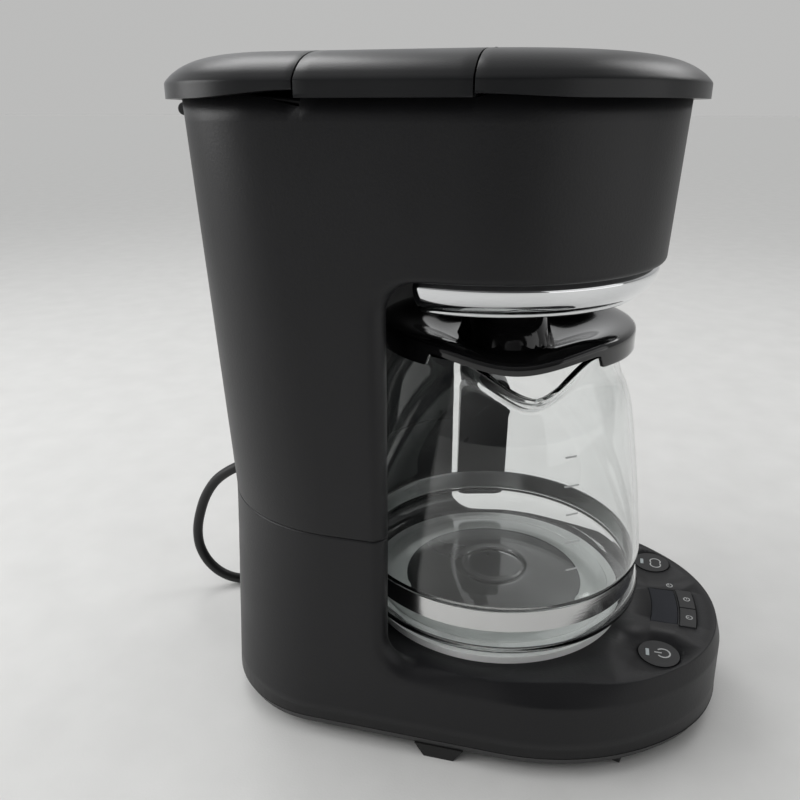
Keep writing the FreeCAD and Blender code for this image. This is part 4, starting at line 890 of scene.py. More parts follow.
    def base_nose_row(self, bay: Bay, z: float, inset: float = 0.0) -> list[Spot]:
        """Gives the base's front at one level, from the right border round to the left.

        Args:
            bay: The bay.
            z: The height.
            inset: How much further in than the border the row lies.

        Returns:
            The front's points.
        """
        plan = self.lower_plan(z)
        taper = self.base_plan.half - plan.half
        nose_y = self.base_nose - self.base_reach
        end = RoundedEnd(plan.half, self.base_nose - taper, self.nose_side - taper)
        path = [(plan.half, y) for y in steps(bay.turn_y, nose_y, 8)]
        path += [(x, nose_y - y) for x, y in end.points(22, 16)]
        row = []
        for index, (x, y) in enumerate(path):
            ahead = path[min(index + 1, len(path) - 1)]
            behind = path[max(index - 1, 0)]
            along = Vector((ahead[0] - behind[0], ahead[1] - behind[1])).normalized()
            out = (-along.y, along.x) if 0 < index < len(path) - 1 else ((0.0, -1.0) if index else (1.0, 0.0))
            fall = self.deck_fall(bay, x, y, z) + inset
            row.append((x - out[0] * fall, y - out[1] * fall))
        right = [(x, y, z) for x, y in row]
        left = [(-x, y, z) for x, y in reversed(row[:-1])]
        return right + left

    def lower(self, holes: Sequence[Sequence[Spot]]) -> bpy.types.Object:
        """Builds the lower shell with its control deck.

        Args:
            holes: Outlines of the openings in the deck.

        Returns:
            The shell.
        """
        shape = Shape()
        bay = Bay(flat_z=self.deck_z, opens_down=False)
        rim = self.seam_z - self.seam_gap / 2
        falls = [self.deck_z - self.deck_edge * (1 - math.cos(t)) for t in steps(0, math.pi / 2, 10)[1:]]
        edge = self.deck_z - self.deck_edge
        crisp = [edge + 0.3, edge - 0.4, edge - 1.6]
        unders = sorted(falls[:-1] + crisp + steps(edge - 9.0, self.parting_z, 2))
        levels = [self.deck_z + bay.corner * (1 - math.cos(t)) for t in steps(0, math.pi / 2, 9)]
        levels += steps(bay.turn_z, rim - 1.0, 5)[1:] + [rim]
        rows, walls = [], []
        for z in unders + levels:
            row = self.side_row(self.lower_plan(z), bay, max(z, self.deck_z - self.deck_edge), self.deck_edge)
            rows.append(shape.row(self.mirrored(row, z)))
            if z in levels:
                walls.append(shape.row(self.hollow_row(row[0], bay.back_y, z)))
        shape.grid(rows)
        shape.grid(walls)
        noses = [shape.row(self.base_nose_row(bay, z)) for z in unders + [self.deck_z]]
        noses.append(shape.row(self.base_nose_row(bay, self.deck_z, self.deck_support)))
        shape.grid(noses)
        self.flat(shape, [noses[-1], walls[0]], holes, self.deck_z)
        piece = shape.build("lower_shell", "machine", BODY, 62.0)
        thicken(piece, self.wall)
        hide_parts("lower_housing")
        return piece


@dataclass
class ChromeRing:
    """Bright ring under the head."""

    centre: Point = (0.0, -25.0)
    profile: tuple[Point, ...] = (
        (71.6, 223.95), (72.4, 222.9), (73.3, 221.9), (73.8, 221.0), (73.7, 219.6), (73.0, 217.4),
        (71.6, 214.9), (69.6, 212.6), (68.0, 211.4), (67.3, 211.0), (67.0, 210.5), (66.6, 209.7),
        (65.8, 209.2), (65.0, 209.5), (64.7, 210.6),
    )
    wall: float = 1.0
    sweep: float = 211.0

    def build(self) -> bpy.types.Object:
        """Builds the ring.

        Returns:
            The ring.
        """
        shape = Shape()
        angles = steps(-90 - self.sweep / 2, -90 + self.sweep / 2, 96)
        shape.grid(turned_rows(shape, smooth_curve(self.profile, 4), self.centre, angles))
        piece = shape.build("bright_ring", "machine", CHROME, 60.0)
        thicken(piece, self.wall)
        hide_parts("chrome_ring")
        return piece


@dataclass
class Lids:
    """The crowned top: tank lid, fixed bridge and filter lid."""

    half: float = 86.47
    back: float = 114.5
    bow: float = 60.5
    corner: float = 50.0
    nose_y: float = -24.0
    front_seam: float = FRONT_EDGE.seam_y
    rear_seam: float = REAR_EDGE.seam_y
    gap: float = 0.7
    wall: float = 2.2
    lip: float = 11.0
    hinge: Point = (111.0, 284.4)
    barrel: float = 2.7
    profile: tuple[Point, ...] = (
        (0.0, 288.03), (0.0, 290.2), (0.0, 292.4), (0.02, 293.5), (0.3, 294.15), (1.3, 295.3), (3.5, 297.3),
        (7.5, 299.8), (13.0, 302.0), (20.0, 303.6), (28.0, 304.6), (36.0, 305.0),
    )
    top: float = 305.0
    lip_start: float = 0.9
    rise_top: float = 293.3
    rise_height: float = 5.1
    rounding: float = 0.6
    knuckle_half: float = 13.0
    knuckle_top: float = 289.0
    ear_near: float = 13.4
    ear_far: float = 24.0
    ear_root: float = 106.0
    ear_drop: float = 5.2
    front_axis: Point = (-31.35, 303.0)
    front_barrel: float = 1.9
    front_barrel_near: float = 12.4
    front_barrel_far: float = 56.0

    def levels(self) -> list[Point]:
        """The crown's profile, from the lip over the rim: how far in and how high."""
        crown = [(max(inset, 0.0), min(z, self.top)) for inset, z in smooth_curve(self.profile, 3)]
        return [(self.lip, self.profile[0][1]), (self.lip_start, self.profile[0][1])] + crown

    def lifted(self, row: Iterable[Spot], edge: RisingEdge) -> list[Spot]:
        """Raises a lid's lower edge along its sides, fading out up the skirt.

        Args:
            row: One level's points.
            edge: How the edge rises.

        Returns:
            The raised points.
        """
        made = []
        for x, y, z in row:
            rise = edge.at(y) if abs(x) > edge.side else 0.0
            made.append((x, y, z + rise * max(0.0, self.rise_top - z) / self.rise_height))
        return made

    def half_at(self, y: float, inset: float) -> float:
        """The half width of the crown at a place along it."""
        half = self.half - inset
        if y < self.nose_y:
            return math.sqrt(max(half ** 2 - (y - self.nose_y) ** 2, 0.0))
        return half

    def bridge(self) -> bpy.types.Object:
        """Builds the fixed bridge.

        Returns:
            The bridge.
        """
        shape = Shape()
        rows = []
        for y in steps(self.front_seam + self.gap / 2, self.rear_seam - self.gap / 2, 12):
            right = [(self.half_at(y, inset), y, z) for inset, z in self.levels()]
            left = [(-x, y, z) for x, y, z in reversed(right)]
            rows.append(shape.row(right + left))
        shape.grid(rows)
        piece = shape.build("top_bridge", "machine", LID, 50.0)
        thicken(piece, self.wall)
        soften(piece, self.rounding)
        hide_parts("lid_bridge")
        return piece

    def front(self) -> bpy.types.Object:
        """Builds the filter lid.

        Returns:
            The lid.
        """
        shape = Shape()
        edge = self.front_seam - self.gap / 2
        rows = []
        for inset, z in self.levels():
            half = self.half - inset
            lean = math.asin((self.nose_y - edge) / half)
            angles = steps(-lean, -(math.pi - lean), 64)
            rows.append(shape.row(self.lifted(
                [(half * math.cos(angle), self.nose_y + half * math.sin(angle), z) for angle in angles],
                FRONT_EDGE,
            )))
        shape.grid(rows)
        shape.face(rows[-1])
        piece = shape.build("filter_lid", "front_lid", LID, 50.0)
        thicken(piece, self.wall)
        soften(piece, self.rounding)
        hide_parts("front_lid")
        return piece

    def rear(self) -> bpy.types.Object:
        """Builds the tank lid.

        Returns:
            The lid.
        """
        shape = Shape()
        edge = self.rear_seam + self.gap / 2
        rows = []
        for inset, z in self.levels():
            half = self.half - inset
            end = RoundedEnd(half, self.bow - inset, self.corner - inset)
            side_y = self.back - self.bow
            right = [(half, y) for y in steps(edge, side_y, 6)]
            right += [(x, side_y + y) for x, y in end.points(12, 14)]
            row = [(x, y, z) for x, y in right] + [(-x, y, z) for x, y in reversed(right[:-1])]
            rows.append(shape.row(self.lifted(row, REAR_EDGE)))
        shape.grid(rows)
        shape.face(rows[-1])
        piece = shape.build("tank_lid", "rear_lid", LID, 50.0)
        thicken(piece, self.wall)
        soften(piece, self.rounding)
        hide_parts("rear_lid")
        return piece

    @staticmethod
    def bar(shape: Shape, span: Point, outline: Sequence[Point]) -> None:
        """Adds a solid bar that runs across the machine.

        Args:
            shape: The shape.
            span: The x of its two ends.
            outline: Its outline, as y and z.
        """
        ends = [shape.row((x, y, z) for y, z in outline) for x in span]
        shape.join(ends[0], ends[1], closed=True)
        for end in ends:
            shape.face(end)

    def turn_of(self, start: float, end: float) -> list[Point]:
        """Gives part of the tank hinge's barrel, as y and z, between two angles."""
        y, z = self.hinge
        return [(y + self.barrel * math.cos(a), z + self.barrel * math.sin(a)) for a in steps(start, end, 12)]

    def front_hinge(self) -> bpy.types.Object:
        """Builds the two barrels that the filter lid turns on.

        Returns:
            The barrels.
        """
        shape = Shape()
        turn = [2 * math.pi * k / 20 for k in range(20)]
        y, z = self.front_axis
        ring = [(y + self.front_barrel * math.cos(a), z + self.front_barrel * math.sin(a)) for a in turn]
        near, far = self.front_barrel_near, self.front_barrel_far
        for span in ((near, far), (-far, -near)):
            self.bar(shape, span, ring)
        piece = shape.build("filter_lid_barrels", "front_lid", LID, 50.0)
        soften(piece, 0.3)
        return piece

    def rear_hinge(self) -> list[bpy.types.Object]:
        """Builds the tank lid's hinge: the lid's knuckle between two ears on the shell.

        Returns:
            The knuckle and the ears.
        """
        y, z = self.hinge
        knuckle, ears = Shape(), Shape()
        half, top = self.knuckle_half, self.knuckle_top
        arm = [(y + self.barrel, top), *self.turn_of(0.0, -math.pi), (y - self.barrel, top)]
        self.bar(knuckle, (-half, half), arm)
        foot = [(self.ear_root, z - self.ear_drop), (self.ear_root, z + self.barrel)]
        for span in ((self.ear_near, self.ear_far), (-self.ear_far, -self.ear_near)):
            self.bar(ears, span, self.turn_of(math.pi / 2, -math.pi / 2) + foot)
        pieces = [
            knuckle.build("tank_lid_knuckle", "rear_lid", LID, 50.0),
            ears.build("tank_hinge_ears", "machine", BODY, 50.0),
        ]
        for piece, slot in zip(pieces, ("lid_plastic", "body_plastic")):
            soften(piece, 0.35)
        return pieces


@dataclass
class Carafe:
    """Glass carafe with band, handle and lid, turned as it stands."""

    centre: Point = (0.0, LAYOUT.brew_y)
    turn: float = 15.0
    rim_z: float = 187.0
    wall: float = 2.4
    tip_reach: float = 71.0
    tip_drop: float = 11.4
    spout_from: float = 158.0
    spout_pinch: float = 1.18
    outline: tuple[Point, ...] = (
        (58.0, 53.0), (64.0, 53.7), (69.2, 56.2), (72.3, 59.6), (73.0, 62.4), (72.6, 65.2), (71.0, 67.6),
        (69.9, 69.0), (69.8, 71.0), (69.8, 77.6), (70.2, 78.9), (71.4, 79.9), (71.8, 81.4), (71.2, 88.0),
        (68.4, 110.0), (64.9, 133.0), (61.9, 150.0), (60.1, 158.0), (57.3, 165.5), (54.6, 171.0),
        (53.4, 175.5), (53.5, 180.0), (54.4, 184.0), (55.5, 187.0),
    )
    spout_power: float = 1.4
    spout_soft: float = 0.012
    spout_angle: float = 184.0
    cap_front: float = 177.0
    mark_angle: float = 200.5
    mark_levels: tuple[float, ...] = (98.0, 110.5, 123.0, 135.5, 148.0)
    punt: tuple[Point, ...] = (
        (12.0, 57.2), (14.6, 57.2), (15.3, 56.7), (16.8, 56.7), (17.5, 57.1), (20.0, 57.1), (42.0, 56.8),
        (54.0, 53.6),
    )
    punt_z: float = 57.2
    mark_half: float = 0.38
    mark_skin: Point = (0.03, 0.12)
    mark_widths: Point = (5.0, 6.4)
    cap_flat: float = 54.0
    cap_reach: float = 59.0
    cap_skirt: float = 184.0
    cap_wall: float = 1.8
    cap_round: float = 2.4
    cap_front_skirt: float = 4.6
    cap_front_half: float = 39.0
    dip_half: float = 40.0
    dip_drop: float = 6.4
    dip_inset: float = 1.5
    dish: Point = (185.4, 194.2)
    dome: Point = (180.0, 21.8)
    dome_reach: float = 21.5
    dome_lean: float = 17.0
    dome_flat: float = 0.62
    dome_power: float = 2.4
    dome_blend: float = 3.0

    def spot(self, radius: float, angle: float, z: float) -> Spot:
        """A place by radius and angle in degrees, counted from the handle."""
        turn = math.radians(angle + self.turn)
        return (self.centre[0] + radius * math.cos(turn), self.centre[1] + radius * math.sin(turn), z)

    def glass_spot(self, radius: float, z: float, angle: float) -> Spot:
        """A place on the glass, drawn out into the spout near its angle.

        Args:
            radius: The round glass's radius at that height.
            z: The height.
            angle: The angle in degrees from the handle.

        Returns:
            The place.
        """
        away = self.spout_pinch * math.radians(abs((angle - self.spout_angle + 180.0) % 360.0 - 180.0))
        rise = ease((z - self.spout_from) / (self.rim_z - self.spout_from)) ** self.spout_power
        reach = lerp(radius, self.tip_reach, rise)
        if reach > radius + 1e-6:
            half = math.acos(radius / reach)
            soft = math.sqrt(away * away + self.spout_soft)
            if soft < half:
                radius = radius / math.cos(half - soft)
            share = max(0.0, 1.0 - away / max(half, 0.01))
            z -= self.tip_drop * rise * ease(share)
        return self.spot(radius, angle, z)

    def glass(self) -> bpy.types.Object:
        """Builds the glass.

        Returns:
            The glass.
        """
        shape = Shape()
        curve = smooth_curve(self.outline, 3)
        angles = [360.0 * k / 144 for k in range(144)]
        rows = [shape.row(self.glass_spot(r, z, a) for a in angles) for r, z in curve]
        under = [shape.row(self.spot(r, a, z) for a in angles) for r, z in self.punt]
        centre = shape.row([self.spot(0.0, 0.0, self.punt_z)])[0]
        for index in range(len(angles)):
            after = (index + 1) % len(angles)
            shape.face([centre, under[0][after], under[0][index]])
        shape.grid(under + rows, closed=True)
        piece = shape.build("carafe_jug", "carafe", GLASS, 60.0)
        thicken(piece, self.wall)
        soften(piece, 0.9, 3)
        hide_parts("carafe_glass")
        return piece

    def level_marks(self) -> bpy.types.Object:
        """Prints the level dashes on the glass.

        Returns:
            The dashes.
        """
        shape = Shape()
        for index, z in enumerate(self.mark_levels):
            wide = self.mark_widths[index % 2]
            rows = []
            (under, over), half = self.mark_skin, self.mark_half
            for height, lift in ((-half, under), (-half, over), (half, over), (half, under)):
                radius = self.glass_radius(z + height) + lift
                angles = steps(self.mark_angle - wide / 2, self.mark_angle + wide / 2, 8)
                rows.append(shape.row(self.spot(radius, angle, z + height) for angle in angles))
            shape.grid(rows + rows[:1])
            for end in (0, -1):
                shape.face([row[end] for row in rows])
        piece = shape.build("level_dashes", "carafe", INK)
        return piece

    def lid(self) -> bpy.types.Object:
        """Builds the lid: a dished cap with a domed middle and a wavy front over the spout.

        Returns:
            The lid.
        """
        shape = Shape()
        angles = [2.0 * k for k in range(180)]
        flat = self.cap_flat
        reaches = steps(2.0, flat, 36)
        rows = [shape.row(self.spot(r, a, self.cap_height(r, a)) for a in angles) for r in reaches]
        for drop, reach in ((0.1, 0.45), (0.45, 0.75), (1.3, 0.94), (self.cap_round, 1.0)):
            ring = []
            for angle in angles:
                edge = self.cap_edge(angle)
                rise = self.cap_height(flat, angle)
                ring.append(self.spot(lerp(flat, edge, reach), angle, rise - drop))
            rows.append(shape.row(ring))
        for share in steps(0.2, 1.0, 4):
            ring = []
            for angle in angles:
                start = self.cap_height(flat, angle) - self.cap_round
                ring.append(self.spot(self.cap_edge(angle), angle, lerp(start, self.cap_low(angle), share)))
            rows.append(shape.row(ring))
        shape.grid(rows, closed=True)
        shape.face(rows[0])
        piece = shape.build("carafe_cap", "carafe_lid", GLOSS, 50.0)
        thicken(piece, self.cap_wall)
        soften(piece, 0.4)
        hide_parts("carafe_lid")
        return piece

    def away(self, angle: float) -> float:
        """How many degrees an angle lies from the front of the cap."""
        return abs((angle - self.cap_front + 180.0) % 360.0 - 180.0)

    def front_dip(self, angle: float) -> float:
        """How far the cap's front dips at an angle, between nought and one."""
        return ease(1.0 - self.away(angle) / self.dip_half)

    def cap_height(self, radius: float, angle: float) -> float:
        """The height of the cap's top: a dish with a dome that leans towards the spout.

        Args:
            radius: The distance from the axis.
            angle: The angle in degrees from the handle.

        Returns:
            The height.
        """
        dish = lerp(*self.dish, ease((radius - 23.0) / 30.0))
        dish -= self.dip_drop * self.front_dip(angle) * ease((radius - 30.0) / 24.0)
        lean = max(0.0, math.cos(math.radians(self.away(angle)))) ** 3
        share = radius / (self.dome_reach + self.dome_lean * lean)
        if share >= 1.0:
            return dish
        fall = max(0.0, (share - self.dome_flat) / (1.0 - self.dome_flat))
        foot, rise = self.dome
        dome = foot + rise * math.sqrt(max(0.0, 1.0 - fall ** self.dome_power))
        mix = min(max(0.5 + 0.5 * (dome - dish) / self.dome_blend, 0.0), 1.0)
        return lerp(dish, dome, mix) + self.dome_blend * mix * (1.0 - mix)

    def cap_edge(self, angle: float) -> float:
        """The cap's outer radius at an angle."""
        return self.cap_reach - self.dip_inset * self.front_dip(angle)

    def cap_low(self, angle: float) -> float:
        """The height of the cap's lower edge at an angle."""
        front = self.cap_height(self.cap_flat, angle) - self.cap_front_skirt
        return lerp(self.cap_skirt, front, ease((self.cap_front_half - self.away(angle)) / 2.5))

    def handle(self) -> bpy.types.Object:
        """Builds the handle: a slab along the glass, two arms and a rounded grip.

        Returns:
            The handle.
        """
        path = (
            ((66.5, 169.0), 15.0, 13.0), ((80.0, 170.0), 17.0, 12.0), ((96.0, 168.0), 18.5, 12.5),
            ((105.5, 161.0), 19.0, 13.5), ((108.8, 148.0), 19.0, 14.5), ((108.8, 125.0), 19.0, 15.0),
            ((108.0, 103.0), 19.0, 14.5), ((105.0, 88.0), 19.0, 13.5), ((97.0, 79.0), 19.0, 12.5),
            ((84.0, 77.5), 19.5, 12.5), ((77.0, 77.5), 20.0, 12.5),
        )
        shape = Shape()
        rings = []
        count = 28
        mids = smooth_curve([mid for mid, _, _ in path], 4)
        wides = [value for value, _ in smooth_curve([(wide, 0.0) for _, wide, _ in path], 4)]
        thicks = [value for value, _ in smooth_curve([(thick, 0.0) for _, _, thick in path], 4)]
        for index, (mid, wide, thick) in enumerate(zip(mids, wides, thicks)):
            ahead = mids[min(index + 1, len(mids) - 1)]
            behind = mids[max(index - 1, 0)]
            along = Vector((ahead[0] - behind[0], ahead[1] - behind[1])).normalized()
            across = (-along.y, along.x)
            ring = []
            for k in range(count):
                angle = 2 * math.pi * k / count
                side = math.copysign(abs(math.cos(angle)) ** 0.6, math.cos(angle)) * wide / 2
                out = math.copysign(abs(math.sin(angle)) ** 0.6, math.sin(angle)) * thick / 2
                ring.append(self.local(mid[0] + across[0] * out, side, mid[1] + across[1] * out))
            rings.append(shape.row(ring))
        shape.grid(rings, closed=True)
        shape.face(rings[0])
        shape.face(list(reversed(rings[-1])))
        self.slab(shape)
        piece = shape.build("carafe_grip", "carafe", HANDLE, 40.0)
        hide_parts("carafe_handle")
        return piece

    def local(self, out: float, side: float, z: float) -> Spot:
        """A place measured straight out along the handle and to its side."""
        turn = math.radians(self.turn)
        return (
            self.centre[0] + out * math.cos(turn) - side * math.sin(turn),
            self.centre[1] + out * math.sin(turn) + side * math.cos(turn), z,
        )

    def glass_radius(self, z: float) -> float:
        """The round glass's outer radius at a height."""
        for (r0, z0), (r1, z1) in zip(self.outline, self.outline[1:]):
            if z0 <= z <= z1:
                return lerp(r0, r1, (z - z0) / (z1 - z0))
        return self.outline[-1][0]

    def slab(self, shape: Shape) -> None:
        """Adds the flat pad that lies along the glass, with a rounded outline.

        Args:
            shape: The handle's shape.
        """
        half, low, high, corner = 14.5, 62.5, 140.0, 7.0
        outline = []
        for centre_y, centre_z, start in (
            (half - corner, low + corner, -90), (half - corner, high - corner, 0),
            (corner - half, high - corner, 90), (corner - half, low + corner, 180),
        ):
            for angle in steps(start, start + 90, 6):
                turn = math.radians(angle)
                outline.append((centre_y + corner * math.cos(turn), centre_z + corner * math.sin(turn)))
        rings = []
        for face_out, shrink in ((None, 0.0), (77.2, 0.0), (78.6, 0.6), (79.0, 1.8)):
            ring = []
            for side, z in outline:
                share = 1 - shrink / half
                mid_z = (low + high) / 2
                s, h = side * share, mid_z + (z - mid_z) * (1 - 2 * shrink / (high - low))
                if face_out is None:
                    skin = max(self.glass_radius(h) + 0.5, 71.4 if h < 81.0 else 0.0)
                    out = math.sqrt(max(skin ** 2 - s ** 2, 0.0)) + 0.3
                else:
                    out = face_out
                ring.append(self.local(out, s, h))
            rings.append(shape.row(ring))
        shape.grid(rings, closed=True)
        shape.face(rings[-1])
        shape.face(list(reversed(rings[0])))


@dataclass
class Panel:
    """Control deck: round buttons, keys, display and their printed marks."""

    deck_z: float = 48.0
    proud: float = 0.3
    button_x: float = 39.6
    button_y: float = -116.2
    button_r: float = 9.55
    key_y: float = -132.2
    key_half: float = 15.6
    key_near: float = 95.2
    key_far: float = 103.0
    lcd_half: float = 14.4
    lcd_near: float = 81.7
    lcd_far: float = 94.2
    mark_lift: float = 0.06

    def band(self, near: float, far: float, low: float, high: float) -> list[Spot]:
        """A patch of the deck between two arcs about the brewing axis.

        Args:
            near: The inner arc's radius.
            far: The outer arc's radius.
            low: The patch's first x.
            high: Its last x.

        Returns:
            Its outline.
        """
        middle = LAYOUT.brew_y
        inner = [(x, middle - math.sqrt(near * near - x * x), 0.0) for x in steps(low, high, 10)]
        outer = [(x, middle - math.sqrt(far * far - x * x), 0.0) for x in steps(high, low, 10)]
        return inner + outer

    def holes(self) -> list[list[Spot]]:
        """Gives the outlines of the deck's openings."""
        rings = []
        around = [(math.cos(2 * math.pi * k / 64), math.sin(2 * math.pi * k / 64)) for k in range(64)]
        for side in (-1, 1):
            x = side * self.button_x
            rings.append([(x + self.button_r * c, self.button_y + self.button_r * s, 0.0) for c, s in around])
        near, far, half = self.lcd_near - 0.2, self.lcd_far + 0.2, self.lcd_half + 0.2
        rings.append(self.band(near, far, -half, half))
        near, far, half = self.key_near - 0.25, self.key_far + 0.25, self.key_half + 0.25
        rings.append(self.band(near, far, -half, half))
        return rings

    @staticmethod
    def plate(name: str, body: str, node: str, outline: Sequence[Spot], finish: Finish) -> bpy.types.Object:
        """Builds one key or window from its outline.

        Args:
            name: The piece's name.
            body: The body it rides on.
            node: The node it stands for.
            outline: Its outline on the deck.
            finish: Its finish.

        Returns:
            The piece.
        """
        low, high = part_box(node)
        shape = Shape()
        foot = shape.row((x, y, low.z / MM) for x, y, _ in outline)
        top = shape.row((x, y, high.z / MM) for x, y, _ in outline)
        shape.join(foot, top, closed=True)
        shape.face(top)
        shape.face(list(reversed(foot)))
        piece = shape.build(name, body, finish)
        soften(piece, 0.45, 3, 50.0)
        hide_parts(node)
        return piece

    def stroke(
        self, name: str, body: str, path: Sequence[Point], width: float = 0.7, lift: float = 0.3,
    ) -> None:
        """Prints one stroke on a button.

        Args:
            name: The stroke's name.
            body: The body it rides on.
            path: The stroke's line on the deck.
            width: Its width.
            lift: How far above the deck its ground lies.
        """
        z = self.deck_z + lift
        shape = Shape()
        lefts, rights = [], []
        for index, (x, y) in enumerate(path):
            ahead = path[min(index + 1, len(path) - 1)]
            behind = path[max(index - 1, 0)]
            along = Vector((ahead[0] - behind[0], ahead[1] - behind[1])).normalized() * (width / 2)
            lefts.append((x - along.y, y + along.x))
            rights.append((x + along.y, y - along.x))
        low = [shape.row((x, y, z + 0.01) for x, y in line) for line in (lefts, rights)]
        high = [shape.row((x, y, z + self.mark_lift) for x, y in line) for line in (lefts, rights)]
        shape.join(high[0], high[1])
        shape.join(low[1], low[0])
        shape.join(low[0], high[0])
        shape.join(high[1], low[1])
        for end in (0, -1):
            shape.face([low[0][end], low[1][end], high[1][end], high[0][end]])
        piece = shape.build(name, body, INK)

    @staticmethod
    def arc(x: float, y: float, radius: float, start: float, stop: float) -> list[Point]:
        """A round stroke's line, its angles in degrees."""
        return [
            (x + radius * math.cos(math.radians(a)), y + radius * math.sin(math.radians(a)))
            for a in steps(start, stop, 20)
        ]

    def clock(self, name: str, body: str, spot: Point, hand: Point, lift: float) -> None:
        """Prints a small clock sign.

        Args:
            name: The sign's name.
            body: The body it rides on.
            spot: Its middle.
            hand: Where its hand points from there.
            lift: How far above the deck its ground lies.
        """
        x, y = spot
        self.stroke(f"{name}_ring", body, self.arc(x, y, 1.45, 0, 352), 0.45, lift)
        self.stroke(f"{name}_hand", body, [(x, y), (x + hand[0], y + hand[1])], 0.45, lift)

    def marks(self) -> None:
        """Prints the power sign, the strength sign and the clock signs."""
        x, y = -self.button_x + 0.6, self.button_y - 2.0
        self.stroke("power_sign_ring", "power_button", self.arc(x, y, 3.0, 130, 410))
        self.stroke("power_sign_bar", "power_button", [(x, y + 4.0), (x, y + 0.7)])
        x = self.button_x - 0.6
        self.stroke("strength_sign_left", "strength_button", self.arc(x - 1.5, y, 2.7, 60, 300), 0.6)
        self.stroke("strength_sign_right", "strength_button", self.arc(x + 1.8, y, 2.7, -120, 120), 0.6)
        self.clock("hour_sign", "hour_button", (-self.key_half / 2, self.key_y), (0.0, 0.9), self.proud)
        self.clock("minute_sign", "minute_button", (self.key_half / 2, self.key_y), (0.95, 0.0), self.proud)
        self.clock("timer_sign", "machine", (19.0, -124.5), (0.6, 0.7), 0.0)

    def build(self) -> None:
        """Builds the keys and the window, rounds the buttons and prints the marks."""
        for name in ("power_button", "strength_button"):
            soften(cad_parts[name], 0.4, 3, 50.0)
        for name in ("power_light", "strength_light"):
            soften(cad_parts[name], 0.25, 2, 50.0)
        half = self.key_half
        for name, low, high in (("hour", -half, -0.15), ("minute", 0.15, half)):
            outline = self.band(self.key_near, self.key_far, low, high)
            piece = self.plate(f"{name}_key", f"{name}_button", f"{name}_button", outline, DECK_KEY)
        outline = self.band(self.lcd_near, self.lcd_far, -self.lcd_half, self.lcd_half)
        self.plate("display_window", "machine", "lcd_window", outline, DISPLAY)
        self.marks()


@dataclass
class WarmPlate:
    """Warming plate: a coated middle in a pale border, with a fine groove between them."""

    coat_r: float = 45.0
    rim_r: float = 60.0
    thick: float = 1.5

    def build(self) -> bpy.types.Object:
        """Builds the plate.

        Returns:
            The plate.
        """
        low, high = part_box("warming_plate")
        foot, top = low.z / MM, high.z / MM
        inner = self.rim_r - self.thick
        profile = (
            (2.0, top), (self.coat_r - 1.0, top), (self.coat_r - 0.5, top - 0.25),
            (self.coat_r + 0.5, top - 0.25), (self.coat_r + 1.0, top), (self.rim_r - 1.2, top),
            (self.rim_r - 0.4, top - 0.35), (self.rim_r, top - 1.1), (self.rim_r, foot), (inner, foot),
            (inner, top - self.thick), (2.0, top - self.thick),
        )
        shape = Shape()
        rows = turned_rows(shape, profile, (0.0, LAYOUT.brew_y), [3.75 * k for k in range(96)])
        shape.grid(rows, closed=True)
        shape.face(rows[0])
        shape.face(list(reversed(rows[-1])))
        piece = shape.build("warm_plate", "machine", PLATE)
        piece.data.materials.append(PLATE_BORDER.material())
        middle = LAYOUT.spot(0.0, LAYOUT.brew_y, 0.0)
        for face in piece.data.polygons:
            reach = math.hypot(face.center.x - middle.x, face.center.y - middle.y) / MM
            face.material_index = 1 if reach > self.coat_r and len(face.vertices) == 4 else 0
        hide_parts("warming_plate")
        return piece


